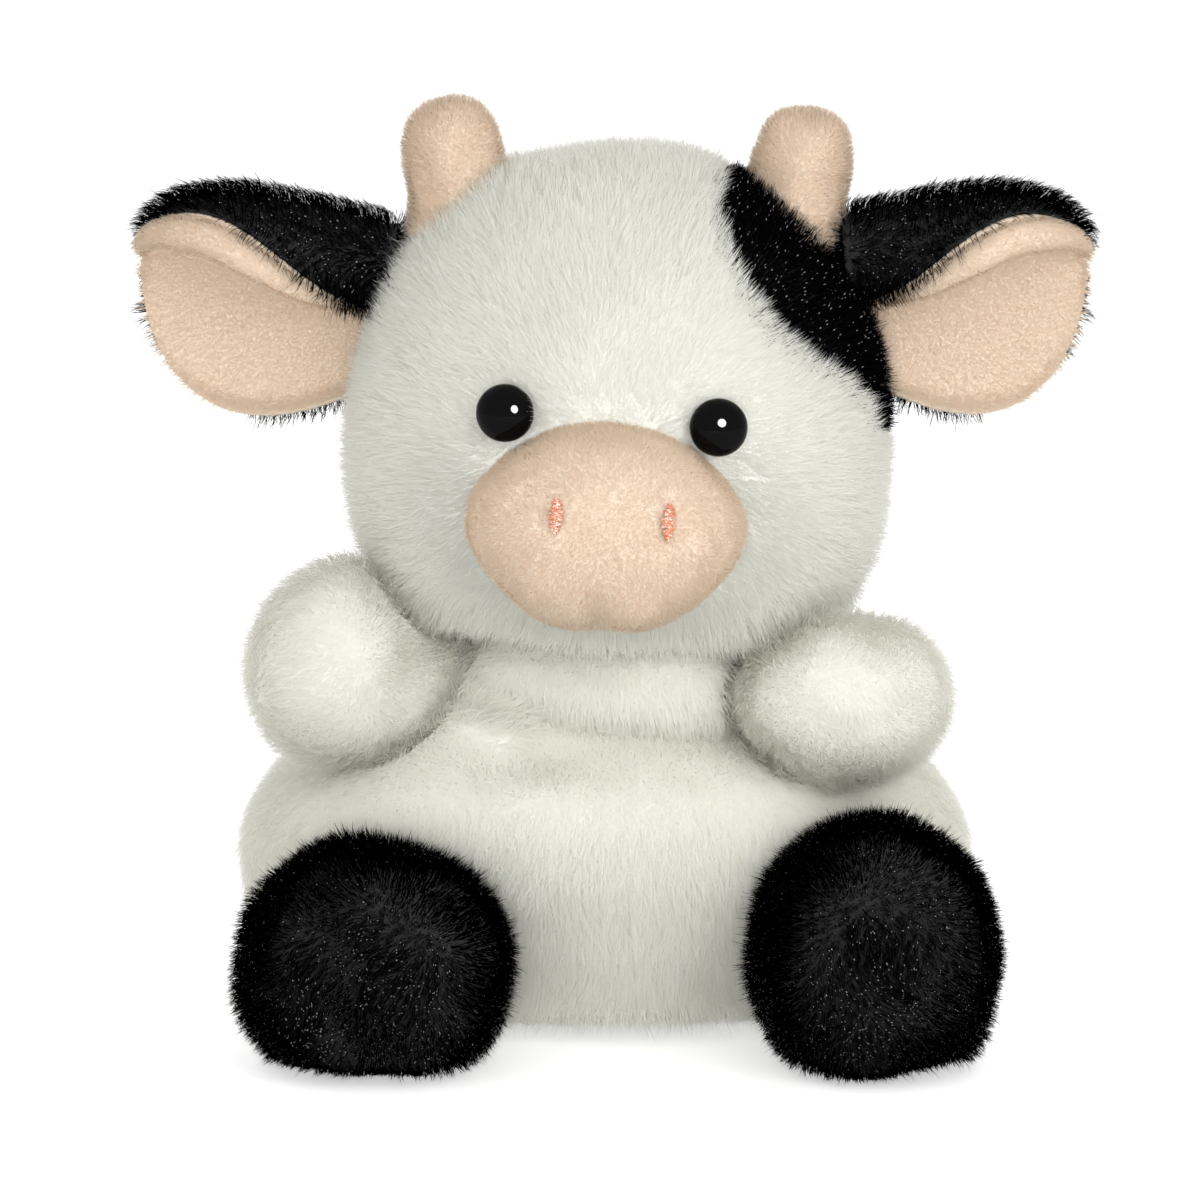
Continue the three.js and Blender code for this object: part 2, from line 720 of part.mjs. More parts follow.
// Layer of an ear between two offsets behind its middle surface; a mirrored one is turned inside out
function earLayer(nearOffset, farOffset, sign) {
  const length = sign < 0 ? earLengthLeft : earLengthRight;
  return sheetGeometry(earRows, earColumns, (face, along, across) => {
    const offset = (face === 0) === sign < 0 ? nearOffset : farOffset;
    const share = Math.sin((along * Math.PI) / 2);
    const point = earPoint(length, share, 2 * across - 1, offset);
    point.x *= sign;
    return point;
  });
}

for (const sign of [-1, 1]) {
  const side = sign < 0 ? "left" : "right";
  const azimuth = sign < 0 ? Math.PI - radians(earRootAzimuth) : radians(earRootAzimuth);
  const rootShare = sign < 0 ? earRootShareLeft : earRootShareRight;
  const root = formPoint(headForm, azimuth, Math.PI * rootShare);
  const group = addGroup(head, `ear_${side}`, root);
  const rise = sign < 0 ? earRiseLeft : earRiseRight;
  group.rotation.set(radians(earTilt), radians(-sign * rise), radians(sign * earFacing), "ZYX");
  toy.updateMatrixWorld(true);
  const headGrown = inToyFrame(formGeometry(headForm, headSides, headRings, seamGap), head);
  const rootRoom = swept(headGrown, group, front, earFlop);
  const half = earLayerGap / 2;
  const lining = solid(earLayer(-half - earLinedThick, -half, sign), group);
  const back = solid(earLayer(half, half + earBackThick, sign), group);
  addPiece(group, `ear_lining_${side}`, lining.subtract(rootRoom), peachPile);
  addPiece(group, `ear_back_${side}`, back.subtract(rootRoom), blackPile);
}

// Arms and feet: covers open at the root, filled with fibre
function addLimb(group, form, names, pile, mouth, room) {
  const outer = solid(formGeometry(form, limbSides, limbRings), group);
  const inner = solid(formGeometry(form, linerSides, linerRings, -pileWall), group);
  const padding = solid(formGeometry(form, linerSides, linerRings, -pileWall - fillingGap), group);
  addPiece(group, names[0], cutAll(outer, [inner, mouth, underFloor, ...room]), pile);
  addPiece(group, names[1], cutAll(padding, room), fibre);
}

// Where the cheeks press on an arm while the head turns and nods and the arm swings
function cheekRoom(group) {
  const nodded = sweepGap + (headFront * Math.sin(radians(headNod))) / 2;
  const cheeks = formGeometry(headForm, innerSides, innerRings, nodded);
  return [-1, 0, 1].map((side) => {
    const turn = new THREE.Matrix4().makeRotationZ(radians(side * headTurn));
    const place = new THREE.Matrix4().makeTranslation(head.position).multiply(turn);
    place.multiply(new THREE.Matrix4().makeRotationFromEuler(head.rotation));
    return swept(cheeks.clone().applyMatrix4(place), group, up, armSwing);
  });
}

for (const { side, group } of arms) {
  const mouth = solid(post(armMouthRadius, -armRootRadius - overrun, 0), group);
  const names = [`arm_cover_${side}`, `arm_filling_${side}`];
  addLimb(group, armForm, names, whitePile, mouth, cheekRoom(group));
}
for (const { side, group, form } of feet) {
  const mouth = post(footMouthRadius, 0, footLength + overrun).rotateX(-Math.PI / 2);
  mouth.translate(0, -footReach, form.height / 2);
  const names = [`foot_cover_${side}`, `foot_filling_${side}`];
  addLimb(group, form, names, blackPile, solid(mouth, group), []);
}

// Tail: a cord that hangs from the back, and its tuft
const tailPath = new THREE.CatmullRomCurve3([
  new THREE.Vector3(0, -tailDiameter / 2, 0),
  new THREE.Vector3(0, tailReach / 3, 0),
  new THREE.Vector3(0, (tailReach * 5) / 6, -tailDrop / 2),
  new THREE.Vector3(0, tailReach, -tailDrop),
]);
const tailSection = new THREE.Shape().absarc(0, 0, tailDiameter / 2, 0, 2 * Math.PI);
const tailCord = new THREE.ExtrudeGeometry(tailSection, {
  extrudePath: tailPath,
  steps: tailSteps,
  curveSegments: tailSides / 2,
});
const trunkGrown = formGeometry(trunkForm, trunkSides, trunkRings, seamGap);
const tailSeat = swept(trunkGrown, tail, front, tailSwing);
addPiece(tail, "tail_cord", solid(tailCord, tail).subtract(tailSeat), whitePile);
const tuftForm = stuffedForm({
  width: tuftDiameter,
  front: tuftDiameter / 2,
  back: tuftDiameter / 2,
  height: tuftLength,
  sideShares: [0.7, 0.8, 0.92, 1, 1, 0.95, 0.85, 0.8, 0.8],
  at: new THREE.Vector3(0, tailReach, -tailDrop - seamGap - tuftLength),
});
addPiece(tail, "tail_tuft", solid(formGeometry(tuftForm, linerSides, linerRings), tail), blackPile);

export default toy;
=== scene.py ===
"""The plush cow's skins, pile, stitches and eyes, round its solids. Metres, +Z up, facing -Y."""

import math

import bpy
import numpy as np
from mathutils import Euler, Matrix, Vector
from mathutils.kdtree import KDTree


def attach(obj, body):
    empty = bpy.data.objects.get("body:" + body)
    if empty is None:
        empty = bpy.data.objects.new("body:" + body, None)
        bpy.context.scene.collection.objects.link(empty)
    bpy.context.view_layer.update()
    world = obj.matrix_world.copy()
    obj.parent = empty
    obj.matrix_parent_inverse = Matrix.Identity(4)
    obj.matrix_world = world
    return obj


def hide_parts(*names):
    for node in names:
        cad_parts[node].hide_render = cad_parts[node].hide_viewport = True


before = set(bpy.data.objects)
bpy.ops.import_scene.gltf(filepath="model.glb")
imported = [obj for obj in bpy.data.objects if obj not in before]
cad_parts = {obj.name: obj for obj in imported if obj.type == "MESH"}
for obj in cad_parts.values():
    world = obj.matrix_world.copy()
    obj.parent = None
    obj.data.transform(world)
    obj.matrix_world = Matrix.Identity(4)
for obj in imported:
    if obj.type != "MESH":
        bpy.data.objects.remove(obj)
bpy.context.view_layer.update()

MM = 0.001  # every size below is in millimetres, and is scaled when its mesh is made
PILE_SHARE = 1.0

# Camera
CAMERA_DISTANCE = 0.9
CAMERA_ELEVATION = 10.0
CAMERA_TARGET = (-0.00155, 0.0, 0.0526)
CAMERA_LENS = 208.8
CAMERA_NEAR = 0.01

camera = bpy.data.objects.new("camera", bpy.data.cameras.new("camera"))
bpy.context.scene.collection.objects.link(camera)
camera.data.lens = CAMERA_LENS
camera.data.clip_start = CAMERA_NEAR
elevation = math.radians(CAMERA_ELEVATION)
camera_way = Vector((0, -math.cos(elevation), math.sin(elevation)))
camera.location = Vector(CAMERA_TARGET) + CAMERA_DISTANCE * camera_way
camera.rotation_euler = (math.pi / 2 - elevation, 0, 0)
bpy.context.scene.camera = camera

# How far the cloth lies under the solids' surface, where the dense part of its pile ends
SKIN_SINK = 1.2
VELOUR_SINK = 0.5
NEIGHBOUR_GAP = 0.3
FLOOR_GAP = 0.35  # between the lowest cloth and the floor


# Forms: the same rings of rounded squares as the solids have
def row_value(shares, share):
    """Value at a share from 0 to 1 along a row of even shares, smoothly joined."""
    values = np.asarray(shares, float)
    last = len(values) - 1
    place = np.clip(share, 0, 1) * last
    i = np.minimum(np.floor(place).astype(int), last)
    w = place - i
    p0 = values[np.maximum(i - 1, 0)]
    p1 = values[i]
    p2 = values[np.minimum(i + 1, last)]
    p3 = values[np.minimum(i + 2, last)]
    v0, v1 = (p2 - p0) / 2, (p3 - p1) / 2
    return (2 * p1 - 2 * p2 + v0 + v1) * w**3 + (-3 * p1 + 3 * p2 - 2 * v0 - v1) * w**2 + v0 * w + p1


def ramp(x, start, end):
    """Goes evenly from 0 at the start to 1 at the end, and stays level beyond them."""
    return np.clip((x - start) / (end - start), 0, 1)


def smoothstep(x, start, end):
    t = ramp(x, start, end)
    return t * t * (3 - 2 * t)


def bell(x, spread):
    return np.exp(-((x / spread) ** 2))


def rounded(value, power):
    return np.sign(value) * np.abs(value) ** power


class Form:
    """A stuffed form in its own frame, in millimetres."""

    def __init__(self, width, front, back, height, side, front_row=None, back_row=None, squareness=2.0,
                 at=(0, 0, 0), lean=(0, 0, 0), dents=()):
        self.width, self.front, self.back, self.height = width, front, back, height
        self.side = side
        self.front_row = front_row or side
        self.back_row = back_row or side
        self.squareness = squareness
        self.at = np.array(at, float)
        self.lean = np.array(lean, float)
        self.dents = dents

    def reach(self, latitude, is_front, grow):
        share = latitude / np.pi
        side = (self.width / 2 + grow) * row_value(self.side, share)
        front = (self.front + grow) * row_value(self.front_row, share)
        back = (self.back + grow) * row_value(self.back_row, share)
        return side * np.sin(latitude), np.where(is_front, front, back) * np.sin(latitude)

    def points(self, azimuth, latitude, grow=0.0):
        azimuth, latitude = np.broadcast_arrays(np.asarray(azimuth, float), np.asarray(latitude, float))
        level = (1 - np.cos(latitude)) / 2
        is_front = np.sin(azimuth) < 0
        side, depth = self.reach(latitude, is_front, grow)
        power = 2 / self.squareness
        x = rounded(np.cos(azimuth), power) * side
        y = rounded(np.sin(azimuth), power) * depth
        z = level * (self.height + 2 * grow) - grow
        for width, height, at_z, deep in self.dents:
            fall = np.exp(-((x / width) ** 2) - ((z - at_z) / height) ** 2)
            y = y + np.where(is_front, deep * fall * -np.sin(azimuth), 0)
        return np.stack([x, y, z], -1) + level[..., None] * self.lean + self.at

    def ratio(self, points, grow=0.0):
        """Under 1 inside the form, over 1 outside it."""
        z = points[:, 2] - self.at[2]
        level = (z + grow) / (self.height + 2 * grow)
        outside = (level <= 0) | (level >= 1)
        level = np.clip(level, 1e-6, 1 - 1e-6)
        flat = points[:, :2] - self.at[:2] - level[:, None] * self.lean[:2]
        side, depth = self.reach(np.arccos(1 - 2 * level), flat[:, 1] < 0, grow)
        n = self.squareness
        ratio = ((np.abs(flat[:, 0]) / side) ** n + (np.abs(flat[:, 1]) / depth) ** n) ** (1 / n)
        return np.where(outside, 9.0, ratio)

    def face_point(self, x, z):
        latitude = np.arccos(1 - 2 * (z - self.at[2]) / self.height)
        side = self.points(0, latitude)[..., 0]
        across = (np.abs(x) / side) ** (self.squareness / 2)
        return self.points(-np.arccos(np.sign(x) * across), latitude)

    def face_normal(self, x, z):
        across = self.face_point(x + 1, z) - self.face_point(x - 1, z)
        upward = self.face_point(x, z + 1) - self.face_point(x, z - 1)
        normal = np.cross(across, upward)
        return normal / np.linalg.norm(normal)


def placed(position, x=0.0, y=0.0, z=0.0, roll=0.0):
    """Matrix of a group: its turn about X, then Y, then Z, in degrees, and its place."""
    turn = Euler([math.radians(a) for a in (x, y, z)], "XYZ").to_matrix()
    turn = turn @ Matrix.Rotation(math.radians(roll), 3, "Z")
    return np.array(Matrix.Translation(Vector(position)) @ turn.to_4x4())


def moved(points, matrix):
    return points @ matrix[:3, :3].T + matrix[:3, 3]


def moved_back(points, matrix):
    return (points - matrix[:3, 3]) @ matrix[:3, :3]


# Sizes and places of the trunk, head, arms and feet, as the solids have them
TRUNK_WIDTH, TRUNK_FRONT, TRUNK_BACK, TRUNK_HEIGHT = 92, 31, 36, 47.5
SEAT_CUT = 0.5
SEAT_MIDDLE = (-1.0, 2.0)
TRUNK_LEAN = (0.5, -10.0, 0.0)
CREASE_DENT = (92, 6, 0.865 * TRUNK_HEIGHT, 3)  # its width, height, level and depth
trunk = Form(
    TRUNK_WIDTH, TRUNK_FRONT, TRUNK_BACK, TRUNK_HEIGHT,
    [2.1, 1.93, 1.29, 1.07, 1, 0.94, 0.82, 1.15, 1.4],
    [2.1, 1.93, 1.32, 1.08, 1.03, 1.03, 1.02, 1.5, 1.8],
    [2, 1.74, 1.25, 1.08, 1, 0.91, 0.84, 1.2, 1.4],
    squareness=2.15, at=(*SEAT_MIDDLE, -SEAT_CUT), lean=TRUNK_LEAN, dents=[CREASE_DENT],
)
NECK = (SEAT_MIDDLE[0] + TRUNK_LEAN[0], SEAT_MIDDLE[1] + TRUNK_LEAN[1])
TRUNK_TOP = TRUNK_HEIGHT - SEAT_CUT

HEAD_GAP, NOD_RISE = 1.3, 5.0
HEAD_WIDTH, HEAD_HEIGHT, HEAD_FRONT, HEAD_BACK = 67.5, 63.5, 28.5, 28.0
HEAD_TURN = 15.0
HEAD_TILT, HEAD_FACING = 3.5, -2.8
head_matrix = placed((*NECK, TRUNK_TOP + HEAD_GAP + NOD_RISE), y=HEAD_TILT, z=HEAD_FACING)
head = Form(
    HEAD_WIDTH, HEAD_FRONT, HEAD_BACK, HEAD_HEIGHT,
    [1.9, 1.72, 1.26, 1.08, 1, 0.98, 1.02, 1.13, 1.15],
    [1.7, 1.5, 1.2, 1.06, 1, 0.97, 0.98, 1.05, 1.1],
    [1.6, 1.4, 1.14, 1.03, 1, 1, 1.01, 1.05, 1.1],
    squareness=2.1, at=(0, 0, -NOD_RISE),
)
HEAD_MIDDLE = HEAD_HEIGHT / 2 - NOD_RISE

ARM_WIDTH, ARM_DEPTH, ARM_LENGTH = 26, 21, 34.5
ARM_ROOT_RADIUS, ARM_STAND_OFF, ARM_SWING = 10.0, 2.0, 12.0
arm = Form(ARM_WIDTH, ARM_DEPTH / 2, ARM_DEPTH / 2, ARM_LENGTH,
           [1.15, 1.11, 1.04, 0.9, 0.93, 1.08, 1.17, 1.22, 1.25], at=(0, 0, -ARM_ROOT_RADIUS))


def arm_matrix(azimuth, latitude, heading, rise, roll):
    shoulder = trunk.points(math.radians(azimuth), math.radians(latitude), ARM_STAND_OFF)
    return placed(shoulder, y=90 - rise, z=heading, roll=roll)


limbs = {
    "arm_left": (arm, arm_matrix(azimuth=190, latitude=147, heading=-138, rise=14.5, roll=0), ARM_SWING),
    "arm_right": (arm, arm_matrix(azimuth=-17, latitude=138, heading=-71, rise=9, roll=90), ARM_SWING),
}
FOOT_WIDTH, FOOT_HEIGHT, FOOT_LENGTH, FOOT_SQUASH = 31, 29.5, 29, 0.05
FOOT_REACH, FOOT_TOE_OUT, FOOT_SPLAY = 8, 12, 15.0
FOOT_SPREAD, FOOT_MIDDLE, FOOT_FORWARD = 62.4, 1.5, 32
for sign, side in ((-1, "left"), (1, "right")):
    squash = 1 - sign * FOOT_SQUASH
    foot = Form(FOOT_WIDTH * squash, FOOT_LENGTH / 2, FOOT_LENGTH / 2, FOOT_HEIGHT / squash,
                [1.6, 1.5, 1.17, 1.04, 1, 1, 1.04, 1.12, 1.15],
                squareness=2.25, at=(0, -FOOT_REACH, -SEAT_CUT))
    x = FOOT_MIDDLE + sign * FOOT_SPREAD / 2 - sign * math.sin(math.radians(FOOT_TOE_OUT)) * FOOT_REACH
    place = placed((x, SEAT_MIDDLE[1] - FOOT_FORWARD, 0), z=sign * FOOT_TOE_OUT)
    limbs[f"foot_{side}"] = (foot, place, FOOT_SPLAY)


# Surfaces: vertices, triangles and normals, in millimetres
def normals_of(verts, tris):
    cross = np.cross(verts[tris[:, 1]] - verts[tris[:, 0]], verts[tris[:, 2]] - verts[tris[:, 0]])
    normals = np.zeros_like(verts)
    for k in range(3):
        np.add.at(normals, tris[:, k], cross)
    length = np.linalg.norm(normals, axis=1, keepdims=True)
    return normals / np.maximum(length, 1e-12)


def halves(quads):
    """Triangles of a list of quads, or of quads whose last two corners are one."""
    quads = np.asarray(quads)
    tris = np.concatenate([quads[:, [0, 1, 2]], quads[:, [0, 2, 3]]])
    return tris[(tris[:, 0] != tris[:, 1]) & (tris[:, 1] != tris[:, 2]) & (tris[:, 2] != tris[:, 0])]


def form_grid(form, matrix, sides, rings, grow):
    """Vertices of a form in the toy's frame, and its faces as quads (a pole's have a corner twice)."""
    azimuth = np.arange(sides) * 2 * np.pi / sides
    latitude = np.arange(1, rings) * np.pi / rings
    inner = form.points(azimuth[None, :], latitude[:, None], grow).reshape(-1, 3)
    verts = np.concatenate([form.points([0.0], [0.0], grow), inner, form.points([0.0], [np.pi], grow)])
    ring, side = np.meshgrid(np.arange(rings - 2), np.arange(sides), indexing="ij")
    low = 1 + ring * sides
    turn = (side + 1) % sides
    middle = np.stack([low + side, low + turn, low + sides + turn, low + sides + side], -1).reshape(-1, 4)
    s = np.arange(sides)
    t = (s + 1) % sides
    top = len(verts) - 1
    last = 1 + (rings - 2) * sides
    bottom_cap = np.stack([s * 0, 1 + t, 1 + s, 1 + s], -1)
    top_cap = np.stack([s * 0 + top, last + s, last + t, last + t], -1)
    return moved(verts, matrix), np.concatenate([bottom_cap, middle, top_cap])


def tube_faces(sides, rings):
    """Faces of a closed tube: its first end's point, its rings, and its last end's point."""
    faces = []
    for ring in range(rings - 1):
        for side in range(sides):
            low, turn = 1 + ring * sides, (side + 1) % sides
            faces.append((low + side, low + turn, low + sides + turn, low + sides + side))
    last, top = 1 + (rings - 1) * sides, 1 + rings * sides
    for side in range(sides):
        turn = (side + 1) % sides
        faces.append((0, 1 + turn, 1 + side, 1 + side))
        faces.append((top, last + side, last + turn, last + turn))
    return faces


def smoothed(values, tris, chosen, rounds):
    """Moves the chosen vertices halfway to the mean of their neighbours, several times."""
    a = np.concatenate([tris[:, 0], tris[:, 1], tris[:, 2]])
    b = np.concatenate([tris[:, 1], tris[:, 2], tris[:, 0]])
    count = np.bincount(a, minlength=len(values))[:, None]
    for _ in range(rounds):
        total = np.zeros_like(values)
        np.add.at(total, a, values[b])
        mean = total / np.maximum(count, 1)
        values = np.where(chosen[:, None], values + (mean - values) * 0.5, values)
    return values


WAVES = 5


def waves(points, scale, seed):
    """Smooth noise from about -1 to 1: a few waves in fixed directions."""
    rng = np.random.default_rng(seed)
    total = np.zeros(len(points))
    for _ in range(WAVES):
        way = rng.normal(size=3)
        way *= rng.uniform(0.6, 1.6) * 2 * np.pi / scale / np.linalg.norm(way)
        total += np.sin(points @ way + rng.uniform(0, 2 * np.pi))
    return total / math.sqrt(WAVES) / 1.2


def wave_ways(points, scale, seed):
    return np.stack([waves(points, scale, seed + k) for k in range(3)], 1)


# How uneven each cloth is: the height and the length of its waves
UNEVEN = {"trunk": (0.5, 26.0), "head": (0.35, 24.0), "muzzle": (0.18, 9.0), "horn": (0.25, 8.0),
          "limb": (0.5, 13.0)}


def uneven(points, kind, seed):
    height, length = UNEVEN[kind]
    return height * waves(points, length, seed)


def unit(vectors):
    return vectors / np.maximum(np.linalg.norm(vectors, axis=1, keepdims=True), 1e-9)


# Rooms: under 1 where points lie in a form, or in what it sweeps as it turns
LIMB_TURNS = 5
PRESS_STEP, PRESS_MOST = 0.3, 16.0


def still_room(form, matrix, grow):
    return lambda points: form.ratio(moved_back(points, matrix), grow)


def swept_room(form, matrix, grow, turns):
    pivot = matrix[:3, 3]

    def room(points):
        ratios = []
        for angle in turns:
            turn = np.array(Matrix.Rotation(math.radians(-angle), 3, "Z"))
            back = (points - pivot) @ turn.T + pivot
            ratios.append(form.ratio(moved_back(back, matrix), grow))
        return np.min(ratios, axis=0)

    return room


def head_room(grow, turns=(0.0,)):
    return swept_room(head, head_matrix, grow, turns)


def pressed(verts, tris, rooms):
    """Moves points inward until they are clear of the rooms. Returns them and how far each went."""
    verts = verts.copy()
    inward = -normals_of(verts, tris)
    depth = np.zeros(len(verts))
    for _ in range(int(PRESS_MOST / PRESS_STEP)):
        inside = np.zeros(len(verts), bool)
        for room in rooms:
            inside |= room(verts) < 1
        if not inside.any():
            break
        verts[inside] += inward[inside] * PRESS_STEP
        depth[inside] += PRESS_STEP
    return verts, depth


# Materials
NONE, ALL = (0, 0, 0, 1), (1, 1, 1, 1)  # the ends of a share
GLINT_FROM = 0.95  # shades over this are painted glints, a light colour that stands in for highlights
TIP_FROM = 0.75  # where along a hair the colour of its tip begins
GLINT_SOFT = 0.03  # the share of a hair over which its painted glint fades
CLOTH_ROUGHNESS, CLOTH_SPECULAR, CLOTH_RELIEF = 0.95, 0.2, 0.0001
THREAD_ROUGHNESS, THREAD_SPECULAR, THREAD_RELIEF = 0.5, 0.3, 0.00008
PATCH_NOISE, THREAD_NOISE, SHINE_NOISE, PLASTIC_NOISE = 90.0, 2500.0, 1400.0, 900.0  # a metre


def srgb(r, g, b):
    def linear(c):
        c /= 255
        return c / 12.92 if c <= 0.04045 else ((c + 0.055) / 1.055) ** 2.4

    return (linear(r), linear(g), linear(b), 1.0)


class Nodes:
    """Short calls for building the nodes of a material or of the world."""

    def __init__(self, owner, out="ShaderNodeOutputMaterial"):
        owner.use_nodes = True
        self.owner = owner
        self.tree = owner.node_tree
        self.tree.nodes.clear()
        self.out = self.tree.nodes.new(out)

    def add(self, kind, **settings):
        node = self.tree.nodes.new(kind)
        for key, value in settings.items():
            if hasattr(node, key):
                setattr(node, key, value)
            else:
                node.inputs[key.replace("_", " ")].default_value = value
        return node

    def link(self, source, target):
        self.tree.links.new(source, target)

    def finish(self, shader):
        self.link(shader.outputs[0], self.out.inputs["Surface"])
        return self.owner

    def ramp(self, factor, stops):
        node = self.add("ShaderNodeValToRGB")
        elements = node.color_ramp.elements
        while len(elements) < len(stops):
            elements.new(0.5)
        for element, (position, colour) in zip(elements, stops):
            element.position = position
            element.color = colour
        self.link(factor, node.inputs["Fac"])
        return node.outputs["Color"]

    def spread(self, factor, low, high):
        node = self.add("ShaderNodeMapRange", To_Min=low, To_Max=high)
        self.link(factor, node.inputs["Value"])
        return node.outputs["Result"]

    def texture(self, kind, output, **settings):
        coordinates = self.add("ShaderNodeTexCoord")
        node = self.add(kind, **settings)
        self.link(coordinates.outputs["Object"], node.inputs["Vector"])
        return node.outputs[output]

    def noise(self, scale, detail=3.0):
        return self.texture("ShaderNodeTexNoise", "Fac", Scale=scale, Detail=detail)

    def cells(self, spacing):
        return self.texture("ShaderNodeTexVoronoi", "Distance", Scale=1 / spacing)

    def mix(self, factor, a, b, blend="MIX"):
        node = self.add("ShaderNodeMix", data_type="RGBA", blend_type=blend)
        for source, socket in ((factor, node.inputs[0]), (a, node.inputs[6]), (b, node.inputs[7])):
            if isinstance(source, bpy.types.NodeSocket):
                self.link(source, socket)
            else:
                socket.default_value = source
        return node.outputs[2]

    def bump(self, height, distance):
        node = self.add("ShaderNodeBump", Strength=1.0, Distance=distance)
        self.link(height, node.inputs["Height"])
        return node.outputs["Normal"]


def pile_material(name, root, tip, deep_root, deep_tip, glint, through, roughness, specular,
                  glint_span=(0.3, 1.0)):
    """Pile: U runs along a hair, and V is its shade, from the deep colours to the light ones.
    A hair whose V is over GLINT_FROM takes the glint colour along the span of its length: a painted
    highlight."""
    n = Nodes(bpy.data.materials.new(name))
    uv = n.add("ShaderNodeUVMap", uv_map="OFBake")
    parts = n.add("ShaderNodeSeparateXYZ")
    n.link(uv.outputs["UV"], parts.inputs[0])
    along, shade = parts.outputs["X"], parts.outputs["Y"]
    light = n.ramp(along, [(0.0, root), (TIP_FROM, tip)])
    dark = n.ramp(along, [(0.0, deep_root), (TIP_FROM, deep_tip)])
    is_glint = n.ramp(shade, [(GLINT_FROM - 0.01, NONE), (GLINT_FROM + 0.01, ALL)])
    low, high = glint_span
    span = n.ramp(along, [(low - GLINT_SOFT, NONE), (low + GLINT_SOFT, ALL), (min(high, 0.94), ALL),
                          (min(high + GLINT_SOFT, 1.0), NONE if high < 1 else ALL)])
    # Painted glints: along its span a glint hair's own colour gives way to the glint colour
    colour = n.mix(n.mix(1.0, is_glint, span, "MULTIPLY"), n.mix(shade, dark, light), glint)
    surface = n.add("ShaderNodeBsdfPrincipled", Specular_IOR_Level=specular)
    n.link(n.spread(shade, roughness + 0.12, roughness - 0.08), surface.inputs["Roughness"])
    n.link(colour, surface.inputs["Base Color"])
    behind = n.add("ShaderNodeBsdfTranslucent")
    n.link(colour, behind.inputs["Color"])
    both = n.add("ShaderNodeMixShader")
    both.inputs[0].default_value = through
    n.link(surface.outputs[0], both.inputs[1])
    n.link(behind.outputs[0], both.inputs[2])
    return n.finish(both)


def cloth_material(name, light, dark, spacing):
    """Knitted backing cloth: fine loops, and wide soft patches."""
    n = Nodes(bpy.data.materials.new(name))
    loops = n.cells(spacing)
    shaded = n.ramp(loops, [(0.1, ALL), (0.9, (0.93, 0.93, 0.93, 1))])
    colour = n.mix(1.0, n.mix(n.noise(PATCH_NOISE), dark, light), shaded, "MULTIPLY")
    surface = n.add("ShaderNodeBsdfPrincipled", Roughness=CLOTH_ROUGHNESS, Specular_IOR_Level=CLOTH_SPECULAR)
    n.link(colour, surface.inputs["Base Color"])
    n.link(n.bump(loops, CLOTH_RELIEF), surface.inputs["Normal"])
    return n.finish(surface)


def thread_material(name, deep, light, shine, spacing):
    """Embroidery thread: short bright places where its twist catches the light, painted into its colour as
    highlights.
    """
    n = Nodes(bpy.data.materials.new(name))
    twist = n.cells(spacing)
    bright = n.ramp(twist, [(0.3, ALL), (0.5, NONE)])
    patches = n.ramp(n.noise(SHINE_NOISE, 1.0), [(0.42, NONE), (0.5, ALL)])
    base = n.mix(n.noise(THREAD_NOISE), deep, light)
    colour = n.mix(n.mix(1.0, bright, patches, "MULTIPLY"), base, shine)
    surface = n.add("ShaderNodeBsdfPrincipled", Roughness=THREAD_ROUGHNESS,
                    Specular_IOR_Level=THREAD_SPECULAR)
    n.link(colour, surface.inputs["Base Color"])
    n.link(n.bump(twist, THREAD_RELIEF), surface.inputs["Normal"])
    return n.finish(surface)


def plastic_material(name, colour, flecks, roughness, rough_spread, specular):
    n = Nodes(bpy.data.materials.new(name))
    fine = n.noise(PLASTIC_NOISE, 4.0)
    surface = n.add("ShaderNodeBsdfPrincipled", Specular_IOR_Level=specular)
    n.link(n.spread(fine, roughness, roughness + rough_spread), surface.inputs["Roughness"])
    n.link(n.mix(fine, colour, flecks), surface.inputs["Base Color"])
    return n.finish(surface)


# The fifth colour of each pile is its painted glint, a light colour that stands in for highlights on the
# hairs
white_pile = pile_material(
    "white_pile", srgb(255, 254, 247), srgb(255, 255, 250), srgb(250, 249, 239), srgb(254, 254, 246),
    srgb(255, 255, 255), through=0.45, roughness=0.6, specular=0.12)
black_pile = pile_material(
    "black_pile", srgb(3, 3, 4), srgb(8, 8, 10), srgb(2, 2, 3), srgb(5, 5, 7),
    srgb(225, 225, 230), through=0.1, roughness=0.55, specular=0.0, glint_span=(0.66, 0.69))
peach_nap = pile_material(
    "peach_nap", srgb(238, 217, 195), srgb(244, 232, 214), srgb(231, 207, 183), srgb(239, 223, 203),
    srgb(255, 252, 246), through=0.45, roughness=0.65, specular=0.12)
white_cloth = cloth_material("white_cloth", srgb(253, 254, 250), srgb(250, 251, 245), 0.0005)
black_cloth = cloth_material("black_cloth", srgb(12, 12, 14), srgb(7, 7, 9), 0.0005)
peach_cloth = cloth_material("peach_cloth", srgb(244, 228, 208), srgb(239, 218, 196), 0.0004)
coral_thread = thread_material(
    "coral_thread", srgb(214, 124, 86), srgb(232, 162, 126), srgb(255, 250, 244), 0.00022)
eye_gloss = plastic_material(
    "eye_gloss", srgb(4, 4, 5), srgb(7, 7, 8), roughness=0.03, rough_spread=0.03, specular=0.07)
washer_plastic = plastic_material(
    "washer_plastic", srgb(216, 216, 210), srgb(224, 224, 218), roughness=0.4, rough_spread=0.1, specular=0.5)


# Pieces
def make_mesh(name, verts, faces):
    mesh = bpy.data.meshes.new(name)
    corners = [list(dict.fromkeys(face)) for face in np.asarray(faces).tolist()]
    mesh.from_pydata((np.asarray(verts) * MM).tolist(), [], corners)
    mesh.validate()
    mesh.shade_smooth()
    obj = bpy.data.objects.new(name, mesh)
    bpy.context.scene.collection.objects.link(obj)
    return obj


def dress(obj, body, material, replaces=()):
    obj.data.materials.append(material)
    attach(obj, body)
    if replaces:
        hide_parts(*replaces)


CLOTHS = {"white_pile": white_cloth, "black_pile": black_cloth, "peach_pile": peach_cloth}


